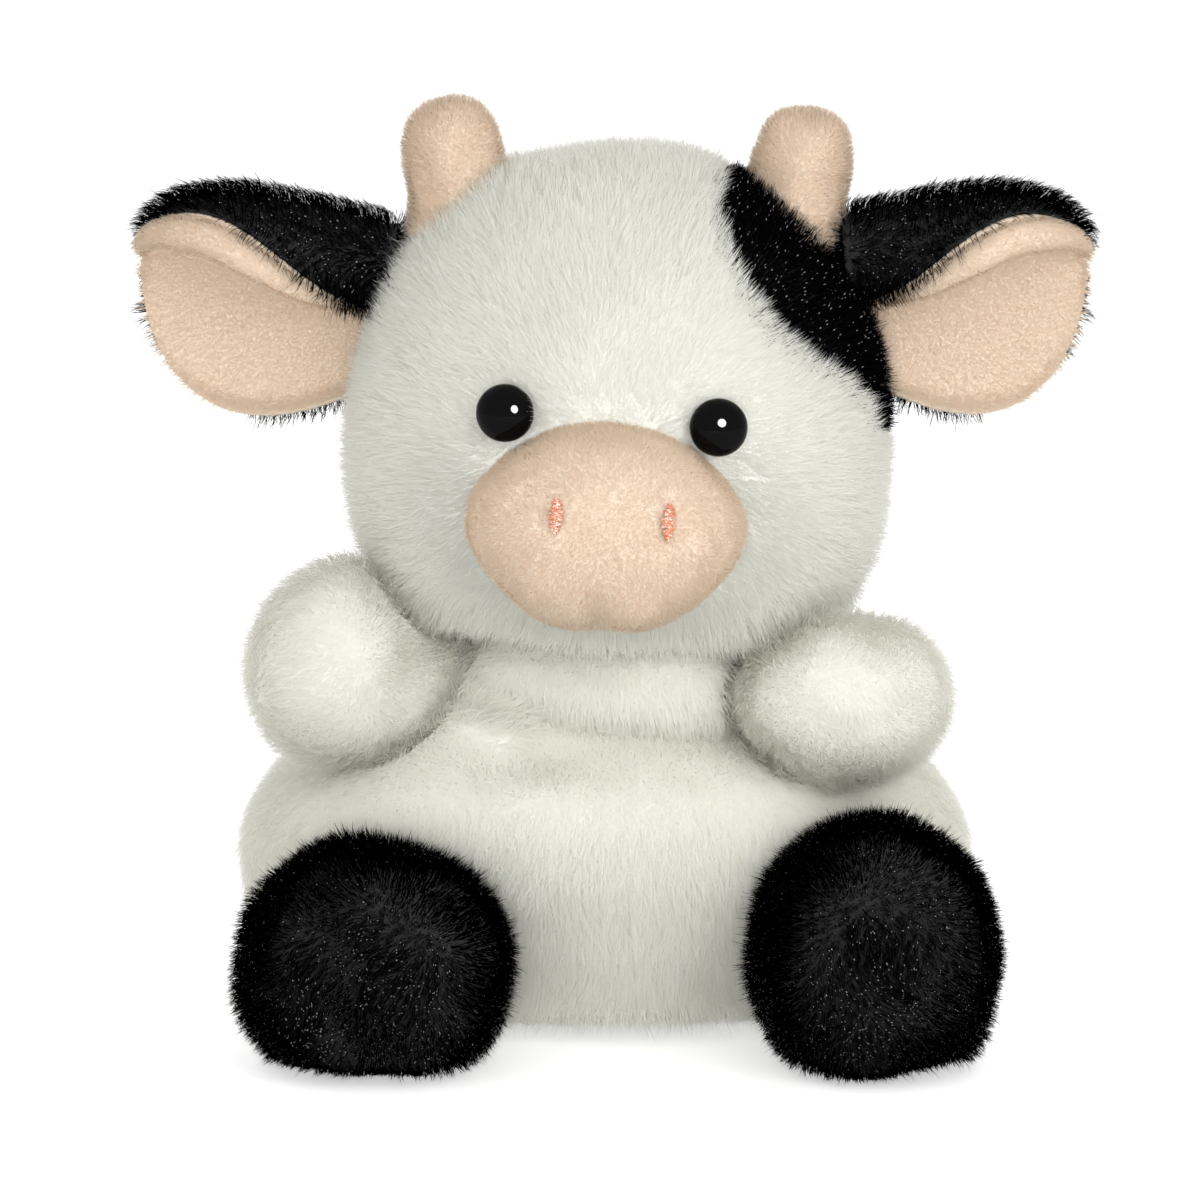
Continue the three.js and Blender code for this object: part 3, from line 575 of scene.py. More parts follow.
def add_skin(name, body, slot, verts, faces, replaces=()):
    dress(make_mesh(name, verts, faces), body, CLOTHS[slot], replaces)


MOST_HAIRS = 60_000  # in one piece of pile
HAIR_MIDDLE_WIDTH = 0.8  # halfway along a hair, of its width at the root


def make_hairs(name, body, material, lines, across, half_width, shade, normals, even):
    """Pile as ribbons that taper to a point. lines is (hairs, 3, 3): root, middle and tip.
    Their shading normals lie between the ribbon's own and, by the share even, the cloth's."""
    own = unit(np.cross(across, unit(lines[:, 2] - lines[:, 0])))
    ways = unit(normals * even + own * (1 - even))
    parts = max(1, math.ceil(len(lines) / MOST_HAIRS))
    for part, chosen in enumerate(np.array_split(np.arange(len(lines)), parts)):
        root, middle, tip = (lines[chosen, k] for k in range(3))
        w = across[chosen] * half_width[chosen, None]
        middle_w = HAIR_MIDDLE_WIDTH * w
        verts = np.stack([root - w, root + w, middle - middle_w, middle + middle_w, tip], 1)
        count = len(chosen)
        mesh = bpy.data.meshes.new(name)
        mesh.vertices.add(count * 5)
        mesh.vertices.foreach_set("co", (verts * MM).astype(np.float32).ravel())
        corners = np.array([0, 1, 3, 2, 2, 3, 4])
        mesh.loops.add(count * 7)
        indices = np.arange(count)[:, None] * 5 + corners
        mesh.loops.foreach_set("vertex_index", indices.astype(np.int32).ravel())
        mesh.polygons.add(count * 2)
        starts = np.arange(count)[:, None] * 7 + np.array([0, 4])
        mesh.polygons.foreach_set("loop_start", starts.astype(np.int32).ravel())
        mesh.polygons.foreach_set("use_smooth", np.ones(count * 2, bool))
        u = np.array([0.03, 0.03, 0.5, 0.5, 0.5, 0.5, 0.97])
        v = np.array([-1, 1, 1, -1, -1, 1, 0]) * 0.01
        uv = np.stack(np.broadcast_arrays(u[None, :], shade[chosen, None] + v[None, :]), -1)
        layer = mesh.uv_layers.new(name="OFBake")
        layer.data.foreach_set("uv", uv.astype(np.float32).ravel())
        mesh.update()
        mesh.validate()
        mesh.normals_split_custom_set_from_vertices(np.repeat(ways[chosen], 5, axis=0).astype(np.float32))
        obj = bpy.data.objects.new(f"{name}_{part + 1}" if parts > 1 else name, mesh)
        bpy.context.scene.collection.objects.link(obj)
        dress(obj, body, material)


def scattered(surface, density, rng):
    """Even random places on a surface: points, normals and the surface's values there."""
    verts, tris, normals, values = surface
    edge_a, edge_b = verts[tris[:, 1]] - verts[tris[:, 0]], verts[tris[:, 2]] - verts[tris[:, 0]]
    area = np.linalg.norm(np.cross(edge_a, edge_b), axis=1) / 2
    count = int(area.sum() * density * PILE_SHARE)
    total = np.cumsum(area)
    chosen = np.searchsorted(total, (np.arange(count) + rng.random(count)) / count * total[-1])
    chosen = np.minimum(chosen, len(tris) - 1)
    a, b = rng.random(count), rng.random(count)
    over = a + b > 1
    a, b = np.where(over, 1 - a, a), np.where(over, 1 - b, b)
    weights = np.stack([1 - a - b, a, b], 1)[:, :, None]
    corners = tris[chosen]
    normal = (normals[corners] * weights).sum(1)
    normal /= np.linalg.norm(normal, axis=1, keepdims=True)
    value = (values[corners] * weights[:, :, 0]).sum(1)
    return (verts[corners] * weights).sum(1), normal, value


def surface_of(verts, tris, values):
    return verts, tris, normals_of(verts, tris), values


def combed(*way):
    """A comb that lays every hair in one direction."""
    return lambda points, normals: np.tile(way, (len(points), 1))


LEAN_SPREAD = (0.75, 1.25)
ROOT_LEAN, TIP_LEAN, MOST_LEAN = 0.55, 1.45, 88  # shares of a hair's lean in its two halves, and degrees


def hair_lines(roots, normals, comb, length, lean, messy, rng):
    """Root, middle and tip of each hair, which starts steeper than it ends."""
    way = comb - normals * (comb * normals).sum(1, keepdims=True)
    way = unit(unit(way) + rng.normal(scale=messy, size=way.shape))
    way = unit(way - normals * (way * normals).sum(1, keepdims=True))
    lean = lean * rng.uniform(*LEAN_SPREAD, len(roots))
    steep = np.radians(lean * ROOT_LEAN)[:, None]
    flat = np.radians(np.minimum(lean * TIP_LEAN, MOST_LEAN))[:, None]
    half = (length / 2)[:, None]
    middle = roots + (normals * np.cos(steep) + way * np.sin(steep)) * half
    tip = middle + (normals * np.cos(flat) + way * np.sin(flat)) * half
    return np.stack([roots, middle, tip], 1)


LENGTH_SPREAD, WIDTH_SPREAD = (0.75, 1.15), (0.8, 1.2)
RIBBON_TURN = 0.9  # the most each is turned about its own length, in radians
CLUMP_SPREAD, CLUMP_MIDDLE = (0.5, 1.3), 0.35  # how far tips draw together, and the middles with them
STRAY_LENGTH, STRAY_LEAN = 1.2, 0.75  # of the hairs that stand out of the pile, of the others'
LEAST_VALUE = 0.02  # the surface is bare below it
HAIR_FLOOR = 0.12  # no hair reaches below this height
# the shade that paints a hair as a glint, a painted highlight, and the most that any other hair's shade may
# be
GLINT_SHADE, MOST_SHADE = 0.98, 0.9


def grow_pile(name, body, surface, comb, seed, kind, shade=None, keep_off=(), **changes):
    """Pile on a surface. Its values scale the hairs' length, and 0 leaves a place bare."""
    pile = {"messy": 0.3, **kind, **changes}
    length, lean, messy, clump = (pile[key] for key in ("length", "lean", "messy", "clump"))
    lean_at = lean if callable(lean) else lambda points: np.full(len(points), float(lean))
    rng = np.random.default_rng(seed)
    roots, normals, value = scattered(surface, pile["density"], rng)
    kept = value > LEAST_VALUE
    roots, normals, value = roots[kept], normals[kept], value[kept]
    lengths = length * value * rng.uniform(*LENGTH_SPREAD, len(roots))
    strays = rng.random(len(roots)) < pile["strays"]
    lengths *= np.where(strays, STRAY_LENGTH, 1.0)
    leans = lean_at(roots) * np.where(strays, STRAY_LEAN, 1.0)
    lines = hair_lines(roots, normals, comb(roots, normals), lengths, leans, messy, rng)
    if clump:
        # The tips of neighbours draw together into small tufts
        density = 1 / pile["clump_size"] ** 2 / PILE_SHARE
        centres, centre_normals, centre_value = scattered(surface, density, rng)
        heads = hair_lines(centres, centre_normals, comb(centres, centre_normals), length * centre_value,
                           lean_at(centres), messy, rng)
        tree = KDTree(len(centres))
        for i, centre in enumerate(centres):
            tree.insert(centre, i)
        tree.balance()
        nearest = np.array([tree.find(root)[1] for root in roots])
        pull = clump * (rng.uniform(*CLUMP_SPREAD, len(roots)) * ~strays)[:, None]
        lines[:, 2] += (heads[nearest, 2] - lines[:, 2]) * pull
        lines[:, 1] += (heads[nearest, 1] - lines[:, 1]) * pull * CLUMP_MIDDLE
    lines[:, 1:, 2] = np.maximum(lines[:, 1:, 2], HAIR_FLOOR)
    kept = np.ones(len(lines), bool)
    for room in keep_off:
        kept &= (room(lines[:, 2]) > 1) & (room(lines[:, 1]) > 1)
    lines, normals, roots = lines[kept], normals[kept], roots[kept]
    along = unit(lines[:, 2] - lines[:, 0])
    side = unit(np.cross(along, normals) + rng.normal(scale=0.02, size=along.shape))
    turn = rng.uniform(-RIBBON_TURN, RIBBON_TURN, len(side))[:, None]
    side = side * np.cos(turn) + np.cross(along, side) * np.sin(turn)
    tone = rng.normal(0.5, pile["shade_spread"], len(lines)) + 0.08 * waves(roots, 9.0, seed + 1)
    if shade is not None:
        tone += shade(roots, normals)
    tone = np.clip(tone, 0.02, MOST_SHADE)
    # Painted glints: this share of the hairs takes the glint shade, a painted highlight in their colour
    glints = pile["glints"]
    tone[rng.random(len(lines)) < (glints(roots) if callable(glints) else glints)] = GLINT_SHADE
    half_width = pile["width"] / 2 * rng.uniform(*WIDTH_SPREAD, len(lines))
    make_hairs(name, body, pile["material"], lines, side, half_width, tone, normals,
               pile["even"])


# Kinds of pile: hairs a square millimetre, and their length, lean from the cloth's normal and width.
# clump is how far neighbours' tips draw together, glints (hairs painted light as highlights) and strays are
# shares of the hairs, and even is how much of its shading a hair takes from the cloth.
WHITE = dict(slot="white_pile", material=white_pile, density=10.5, length=4.0, lean=42, width=0.09,
             clump=0.15, clump_size=3.5, glints=0.012, shade_spread=0.05, even=0.85, strays=0.06)
BLACK = dict(slot="black_pile", material=black_pile, density=10.0, length=3.4, lean=38, width=0.12,
             clump=0.5, clump_size=1.1, glints=0.07, shade_spread=0.15, even=0.5, strays=0.08)
NAP = dict(slot="peach_pile", material=peach_nap, density=18.0, length=0.9, lean=45, width=0.09,
           messy=0.5, clump=0.12, clump_size=0.9, glints=0.015, shade_spread=0.1, even=0.75, strays=0.03)

# Trunk: the crease between chest and belly, and the hollows where the limbs press
CREASE_X = (-40.0, -30.0, -19.0, -1.5, 20.0, 30.0)
CREASE_Z = (38.0, 41.2, 43.0, 40.2, 38.6, 40.0)  # the seam under the chest, from left to right
ROLL_LOW = (29.0, 33.0, 36.5, 38.6, 38.3, 39.5)  # the lower side of the roll that hangs over at the left
ROLL_HEIGHT, ROLL_MIDDLE = 2.4, 2.6  # how far it stands out, and how far its upper side is under the seam
CHEST_PUSH, CREASE_DEPTH, CREASE_SPREAD = 1.6, 1.2, 1.5
DIP_DEPTH, DIP_SPREAD, DIP_DROP = 0.15, 2.4, 1.5  # under the roll
CHIN_RISE, CHEST_FROM, CHEST_UNTIL = 6.5, 41.0, 46.0  # how far the cloth is raised, and between which heights
HEM_OUT, HEM_HEIGHT = 0.9, 12.0  # the fuller lower edge, and the height where it starts
UNDER_CHIN_PILE = 0.42  # of its length elsewhere


def chest_rise(z):
    """How far the chest's cloth is raised to the chin, over the solid."""
    return CHIN_RISE * smoothstep(z, CHEST_FROM, CHEST_UNTIL)


body_verts, body_faces = form_grid(trunk, np.eye(4), sides=256, rings=144, grow=-SKIN_SINK)
body_tris = halves(body_faces)
away = normals_of(body_verts, body_tris)
across, deep, height = body_verts.T.copy()
seam_z = np.interp(across, CREASE_X, CREASE_Z)
low_z = np.interp(across, CREASE_X, ROLL_LOW)
in_front = ramp(-deep, 6, 16) * ramp(np.abs(across), 36, 28)
chest = smoothstep(height - seam_z, 0.0, 4.0) * in_front
body_verts[:, 1] -= CHEST_PUSH * chest
thick = np.maximum(seam_z - low_z, 1.0)
crease = bell(height - seam_z, CREASE_SPREAD)
roll = bell(height - seam_z + 0.5 * thick, 0.5 * thick) * np.maximum(ramp(thick, 1, 8), 0.15)
dip = bell(height - low_z + DIP_DROP, DIP_SPREAD) * ramp(thick, 1, 8)
shift = (ROLL_HEIGHT * roll - CREASE_DEPTH * crease - DIP_DEPTH * dip) * in_front
body_verts += away * (shift + uneven(body_verts, "trunk", 11) * (away[:, 2] > -0.6))[:, None]
body_verts += away * (HEM_OUT * (1 - smoothstep(height, 0, HEM_HEIGHT)) * (away[:, 2] < 0))[:, None]
body_verts[:, 2] += chest_rise(height) * ramp(-deep, 2, 12)
body_verts[:, 2] = np.maximum(body_verts[:, 2], FLOOR_GAP)
limb_rooms = [swept_room(form, matrix, NEIGHBOUR_GAP, np.linspace(-swing, swing, LIMB_TURNS))
              for form, matrix, swing in limbs.values()]
body_verts, body_depth = pressed(body_verts, body_tris, [*limb_rooms, head_room(-0.2)])
body_verts = smoothed(body_verts, body_tris, body_depth > 0, rounds=4)
add_skin("body_skin", "torso", "white_pile", body_verts, body_faces,
         ("body_cover", "body_filling", "bean_bag"))


def on_roll(points):
    """How far a place lies on the upper side of the roll, at the left."""
    seam = np.interp(points[:, 0], CREASE_X, CREASE_Z)
    seam = seam + chest_rise(seam)
    level = bell(points[:, 2] - seam + ROLL_MIDDLE, ROLL_MIDDLE)
    return level * ramp(points[:, 0], -8, -14) * (points[:, 1] < -8)


def trunk_comb(points, normals):
    way = np.zeros_like(points)
    way[:, 2] = -1
    way[:, 0] = 0.012 * points[:, 0]
    way[:, 1] = 0.2 * np.sign(points[:, 1])
    under = normals[:, 2] < -0.7
    way[under] = points[under] * [1, 1, 0]
    way[:, 0] += 0.25 * waves(points, 14.0, 21)
    tuft = on_roll(points)[:, None]
    return way * (1 - tuft) + np.array([0.8, -0.4, 0.9]) * tuft


def trunk_lean(points):
    """The pile lies flatter on the chest and the upper belly."""
    return 50 + 16 * smoothstep(points[:, 2], 26, 34) * ramp(-points[:, 1], 8, 16)


def belly_shade(points, normals):
    """Soft streaks down the lower belly."""
    return 0.2 * ramp(points[:, 2], 30, 16) * waves(points * [1, 1, 0.16], 4.5, 23)


limb_skins = [still_room(form, matrix, -SKIN_SINK) for form, matrix, _ in limbs.values()]
# The pile's length: none deep in the limbs' hollows, and less in them, underneath and under the chin
under_share = np.clip((away[:, 2] + 0.99) * 6, 0.22, 1)
body_values = np.where(body_depth > 7.0, 0.0, np.where(body_depth > 2.5, 0.7, 1.0)) * under_share
body_values *= 1 + 0.25 * on_roll(body_verts)
under_chin = (head_room(2.0)(body_verts) < 1) & (body_verts[:, 1] < NECK[1] + 4)
body_values *= np.where(under_chin, UNDER_CHIN_PILE, 1.0)
body_surface = surface_of(body_verts, body_tris, body_values)
grow_pile("body_pile", "torso", body_surface, trunk_comb, 101, WHITE, lean=trunk_lean, clump=0.18,
          clump_size=2.8, shade=belly_shade, keep_off=[*limb_skins, head_room(-SKIN_SINK)])

roll_surface = (*body_surface[:3], np.where(on_roll(body_verts) > 0.35, 1.0, 0.0) * (body_depth < 2.5))
grow_pile("roll_tufts", "torso", roll_surface, trunk_comb, 102, WHITE, density=3.0, length=6.5, lean=52,
          clump=0.7, clump_size=2.0, width=0.1, messy=0.4, even=0.6, strays=0.0, keep_off=limb_skins)

# Neck: the soft sleeve between chest and head
NECK_RADIUS, NECK_FLARE, NECK_SIDES, NECK_RINGS = 14.5, 2.0, 64, 18
NECK_LOW, NECK_HIGH = 2.6, 6.5  # how far it reaches into the chest and into the head
NECK_TAPER = 2.5  # how much narrower it ends in the head
neck_z = np.linspace(TRUNK_TOP - NECK_LOW, TRUNK_TOP + HEAD_GAP + NECK_HIGH, NECK_RINGS)
neck_share = np.linspace(0, 1, NECK_RINGS)
neck_r = NECK_RADIUS + NECK_FLARE * (1 - neck_share) ** 3 - NECK_TAPER * smoothstep(neck_share, 0.45, 1)
turns = np.arange(NECK_SIDES) * 2 * np.pi / NECK_SIDES
neck_verts = [[NECK[0], NECK[1], neck_z[0]]]
for z, r in zip(neck_z, neck_r):
    neck_verts += [[NECK[0] + r * math.cos(t), NECK[1] + r * math.sin(t), z] for t in turns]
neck_verts.append([NECK[0], NECK[1], neck_z[-1]])
neck_verts = np.array(neck_verts)
neck_faces = np.array(tube_faces(NECK_SIDES, NECK_RINGS))
add_skin("neck_skin", "neck", "white_pile", neck_verts, neck_faces, ("neck_filling",))
neck_tris = halves(neck_faces)
neck_level = neck_verts[:, 2] - TRUNK_TOP
neck_values = smoothstep(neck_level, -2.0, -1.0) * (1 - smoothstep(neck_level, 4.5, 5.5))
neck_away = normals_of(neck_verts, neck_tris)
neck_surface = (neck_verts, neck_tris, neck_away, neck_values * (np.abs(neck_away[:, 2]) < 0.7))
grow_pile("neck_pile", "neck", neck_surface, combed(0, 0, -1.0), 111, WHITE, length=4.4, lean=52, messy=0.45,
          density=13.0)

# Head: the eyes sit in shallow hollows, and the black panel is let in at one side
EYE_SPACING, EYE_HEIGHT = 26.2, 0.52 * HEAD_HEIGHT - NOD_RISE
EYE_RADIUS, EYE_DOME, EYE_EDGE = 3.62, 2.8, 0.5
EYE_PROUD = 0.3
HOLLOW_DEPTH, HOLLOW_SPREAD = 0.9, 4.6
head_local, head_faces = form_grid(head, np.eye(4), sides=224, rings=112, grow=-SKIN_SINK)
head_tris = halves(head_faces)
head_away = normals_of(head_local, head_tris)
eye_places = {}
for sign, side in ((-1, "left"), (1, "right")):
    x = sign * EYE_SPACING / 2
    normal = head.face_normal(x, EYE_HEIGHT)
    eye_places[side] = (head.face_point(x, EYE_HEIGHT) + EYE_PROUD * normal, normal)
eye_near = np.min([np.linalg.norm(head_local - place, axis=1) for place, _ in eye_places.values()], axis=0)
head_local -= head_away * (HOLLOW_DEPTH * bell(eye_near, HOLLOW_SPREAD))[:, None]
head_local += head_away * uneven(head_local, "head", 12)[:, None]
head_verts = moved(head_local, head_matrix)
add_skin("head_skin", "head", "white_pile", head_verts, head_faces, ("head_cover", "head_filling"))

# The panel's edge as the front shows it, as shares of half the head's width and height
PATCH_EDGE = ((1.0, -0.125), (0.83, 0.185), (0.565, 0.39), (0.355, 0.69), (0.315, 0.875), (0.4, 1.02))
PATCH_TOP = 80  # a level over the whole head, to which the edge goes straight on
PATCH_OUT, PATCH_IN = 0.15, -0.3  # the panel's two sides, from the head's cloth


def in_patch(local):
    """How far in millimetres a place on the head lies inside the black panel's outline."""
    edge = np.array(PATCH_EDGE) * [HEAD_WIDTH / 2, HEAD_HEIGHT / 2]
    ends = edge[1:]
    share = np.linspace(0, 1, 60)
    middle_x, middle_y = row_value(ends[:, 0], share), row_value(ends[:, 1], share)
    line = np.concatenate([[edge[0]], np.stack([middle_x, middle_y], 1), [[edge[-1, 0], PATCH_TOP]]])
    x, y = local[:, 0], local[:, 2] - HEAD_MIDDLE
    return np.minimum(x - np.interp(y, line[:, 1], line[:, 0]), y - edge[0, 1])


up_step = np.array([0, 0, 0.5])
edge_slope = in_patch(head_local + up_step) - in_patch(head_local - up_step)
edge_ways = np.stack([np.ones(len(head_local)), np.zeros(len(head_local)), np.clip(edge_slope, -3, 3)], 1)
edge_ways -= head_away * (edge_ways * head_away).sum(1, keepdims=True)
edge_pace = np.maximum(np.linalg.norm(edge_ways, axis=1), 0.2)
patch_depth = (in_patch(head_local) + 0.5 * waves(head_local, 6.0, 31)) / edge_pace
is_patch = patch_depth > 0.5


def shell_of(verts, faces, normals, chosen, outward, inward):
    """A closed sheet over the chosen faces, between two offsets from them."""
    faces = np.asarray(faces)[chosen]
    used, index = np.unique(faces, return_inverse=True)
    index = index.reshape(faces.shape)
    count = len(used)
    both = np.concatenate([verts[used] + normals[used] * outward, verts[used] + normals[used] * inward])
    result = [tuple(face) for face in index] + [tuple(face[::-1] + count) for face in index]
    edges = {}
    for face in index:
        corners = list(dict.fromkeys(face.tolist()))
        for a, b in zip(corners, corners[1:] + corners[:1]):
            edges[(a, b)] = True
    for a, b in edges:
        if (b, a) not in edges:
            result.append((b, a, a + count, b + count))
    return both, result


patch_faces = is_patch[head_faces].all(1)
head_normals = normals_of(head_verts, head_tris)
patch_verts, patch_shell = shell_of(head_verts, head_faces, head_normals, patch_faces, PATCH_OUT, PATCH_IN)
add_skin("patch_skin", "head", "black_pile", patch_verts, patch_shell, ("head_patch",))

# Muzzle
MUZZLE_LOW = 0.118 * HEAD_HEIGHT - NOD_RISE
MUZZLE_WIDTH, MUZZLE_HEIGHT, MUZZLE_FRONT, MUZZLE_BACK = 35, 26.4, 13.5, 13
MUZZLE_SET = 0.5  # how far its middle is behind the face
PUCKER = (3.5, 6, 0, 2)  # its width, height, level and depth
muzzle_y = head.face_point(0.0, MUZZLE_LOW + MUZZLE_HEIGHT / 2)[..., 1] + MUZZLE_SET
muzzle = Form(MUZZLE_WIDTH, MUZZLE_FRONT, MUZZLE_BACK, MUZZLE_HEIGHT,
              [1.35, 1.28, 1.12, 1.03, 1, 0.99, 1.01, 1.04, 1.05], squareness=2.3,
              at=(0, float(muzzle_y), MUZZLE_LOW), dents=[PUCKER])

# How the cloth differs from the solid: narrower at its upper corners and below, and a little lower
CORNER_TRIMS, LOWER_TRIM, MUZZLE_DROP = (0.13, 0.05), 0.22, 0.7
CLEFT_DEPTH, PAD_HEIGHT = 0.45, 0.3
muzzle_local, muzzle_faces = form_grid(muzzle, np.eye(4), sides=160, rings=80, grow=-VELOUR_SINK)
muzzle_tris = halves(muzzle_faces)
muzzle_away = normals_of(muzzle_local, muzzle_tris)
facing = np.clip(-muzzle_away[:, 1] * 1.5, 0, 1)
rise = (muzzle_local[:, 2] - MUZZLE_LOW) / MUZZLE_HEIGHT
corner = np.where(muzzle_local[:, 0] < 0, CORNER_TRIMS[0], CORNER_TRIMS[1])
muzzle_local[:, 0] *= 1 - corner * smoothstep(rise, 0.58, 0.95) - LOWER_TRIM * (1 - smoothstep(rise, 0, 0.5))
muzzle_local[:, 2] -= MUZZLE_DROP
cleft = bell(muzzle_local[:, 0] + 0.2, 1.1) * np.clip(1 - rise / 0.42, 0, 1) * facing
pads = bell(np.abs(muzzle_local[:, 0]) - 6, 4.5) * bell(rise - 0.2, 0.22) * facing
relief = -CLEFT_DEPTH * cleft + PAD_HEIGHT * pads + uneven(muzzle_local, "muzzle", 13)
muzzle_local += muzzle_away * relief[:, None]

# The edge comes forward until it lies on the head's cloth
behind = head.ratio(muzzle_local, 0.1 - SKIN_SINK) < 1
for _ in range(60):
    muzzle_local[behind, 1] -= 0.25
    behind = (head.ratio(muzzle_local, 0.1 - SKIN_SINK) < 1) & (muzzle_local[:, 1] > -40)
    if not behind.any():
        break
muzzle_verts = moved(muzzle_local, head_matrix)
add_skin("muzzle_skin", "head", "peach_pile", muzzle_verts, muzzle_faces,
         ("muzzle_cover", "muzzle_filling"))

HEAD_FACE = moved(np.array([[0.0, -34.0, MUZZLE_LOW + MUZZLE_HEIGHT * 0.6]]), head_matrix)[0]


def head_comb(points, normals):
    """Outward from the face, lower behind it, and down under the chin."""
    way = unit(points - HEAD_FACE)
    way[:, 2] -= 0.15 * (points[:, 1] > -10)
    way[:, 1] += 0.3 * (points[:, 1] > -10)
    way[:, 2] -= 0.8 * ((points[:, 2] < TRUNK_TOP + 12) & (normals[:, 1] < 0))
    return way + 0.3 * wave_ways(points, 15.0, 41)


# Horns
HORN_WIDTH, HORN_LENGTH, HORN_SINK, HORN_PROUD = 10.6, 16.2, 4.5, 0.3
horn = Form(HORN_WIDTH, HORN_WIDTH / 2, HORN_WIDTH / 2, HORN_LENGTH,
            [2.8, 2.7, 1.52, 1.14, 1.03, 1.08, 1.22, 1.29, 1.3], at=(0, 0, -HORN_SINK))
horns = {}
for side, azimuth, spread, lean in (("left", 180, 39, -10), ("right", 0, 34, 7)):
    base = head.points(math.radians(azimuth), math.pi - math.radians(spread))
    horns[side] = head_matrix @ placed(base, y=lean)

# The pile's length: shorter by the eyes, none under the muzzle, and longer at the chin
head_values = np.clip(eye_near / 6.0, 0.35, 1.0)
head_values = np.where(muzzle.ratio(head_local, -2.5) < 1, 0.0, head_values)
head_values *= 0.8 + 0.2 * ramp(muzzle.ratio(head_local, 0), 1.0, 1.25)
head_values *= np.clip((head_normals[:, 2] + 0.97) * 5, 0.3, 1)
chin = bell(head_normals[:, 2] + 0.7, 0.25) * (head_normals[:, 1] < 0)
head_values *= 1 + 0.3 * chin
black_part = np.clip(0.5 + patch_depth / 1.6, 0, 1)
white_surface = (head_verts, head_tris, head_normals, head_values * (1 - black_part) ** 0.5)
black_surface = (head_verts, head_tris, head_normals, head_values * black_part**0.5)
off_trim = [still_room(muzzle, head_matrix, -VELOUR_SINK)]
off_trim += [still_room(horn, matrix, -VELOUR_SINK) for matrix in horns.values()]


def head_lean(points):
    """The pile stands up round the muzzle, and leans over the rest of the head."""
    far = muzzle.ratio(moved_back(points, head_matrix), 1.0)
    return np.interp(far, (1.05, 1.5), (12, 42))


grow_pile("head_pile", "head", white_surface, head_comb, 201, WHITE, lean=head_lean, keep_off=off_trim)
grow_pile("patch_pile", "head", black_surface, head_comb, 202, BLACK, keep_off=off_trim)


def muzzle_comb(points, normals):
    return unit(points - HEAD_FACE) + 0.6 * wave_ways(points, 6.0, 51)


shown = np.clip((head.ratio(muzzle_local, 0.6 - SKIN_SINK) - 1) / 0.02, 0, 1)
muzzle_middle = moved(np.array([[0.0, 0.0, MUZZLE_LOW + MUZZLE_HEIGHT / 2]]), head_matrix)[0]


def muzzle_glints(points):
    """More of the lower half's hairs are painted as glints, painted highlights where the light catches them.
    """
    left = np.clip((muzzle_middle[0] + 4 - points[:, 0]) / 8, 0.2, 1)
    return 0.004 + 0.12 * left * np.clip((muzzle_middle[2] - 1 - points[:, 2]) / 7, 0, 1)


grow_pile("muzzle_nap", "head", surface_of(muzzle_verts, muzzle_tris, shown), muzzle_comb, 301, NAP,
          glints=muzzle_glints)


def outside_head(points, grow):
    """1 outside the head, and 0 in it."""
    return np.where(still_room(head, head_matrix, grow)(points) > 1, 1.0, 0.0)


for index, (side, matrix) in enumerate(horns.items()):
    verts, faces = form_grid(horn, matrix, sides=64, rings=48, grow=HORN_PROUD)
    tris = halves(faces)
    verts += normals_of(verts, tris) * uneven(verts, "horn", 61 + index)[:, None]
    add_skin(f"horn_skin_{side}", "head", "peach_pile", verts, faces,
             (f"horn_cover_{side}", f"horn_filling_{side}"))
    surface = surface_of(verts, tris, outside_head(verts, -SKIN_SINK))
    grow_pile(f"horn_nap_{side}", "head", surface, combed(*matrix[:3, 2]), 311 + index, NAP,
              length=1.4, lean=38, messy=0.8)

# Eyes: a polished dome with a rolled edge
EYE_FORWARD = 0.6  # how far each is turned from the cloth's normal to the front
EYE_AHEAD = np.array([0, -1.0, 0.12])
EYE_ROLL = ((-0.5, -1.2), (-0.12, -0.5), (0, 0.1))  # its edge from behind: how far past the radius, and up
EYE_SIDES, DOME_RINGS = 64, 16
for side, (place, normal) in eye_places.items():
    normal = normal * (1 - EYE_FORWARD) + EYE_AHEAD * EYE_FORWARD
    profile = [(0.0, EYE_ROLL[0][1])] + [(EYE_RADIUS + out, up) for out, up in EYE_ROLL]
    for step in range(1, DOME_RINGS + 1):
        turn = step / DOME_RINGS * math.pi / 2
        profile.append((EYE_RADIUS * math.cos(turn), EYE_EDGE + (EYE_DOME - EYE_EDGE) * math.sin(turn)))
    turn = np.array(Vector((0, 0, 1)).rotation_difference(Vector(normal)).to_matrix())
    eye_matrix = np.eye(4)
    eye_matrix[:3, :3], eye_matrix[:3, 3] = turn, place
    turns = np.arange(EYE_SIDES) * 2 * np.pi / EYE_SIDES
    verts = [[0, 0, profile[0][1]]]
    for r, z in profile[1:-1]:
        verts += [[r * math.cos(t), r * math.sin(t), z] for t in turns]
    verts.append([0, 0, profile[-1][1]])
    verts = moved(np.array(verts), head_matrix @ eye_matrix)
    eye = make_mesh(f"eye_dome_{side}", verts, tube_faces(EYE_SIDES, len(profile) - 2))
    dress(eye, "head", eye_gloss, (f"eye_{side}",))
    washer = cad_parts[f"eye_washer_{side}"]
    washer.data.materials.clear()
    washer.data.materials.append(washer_plastic)

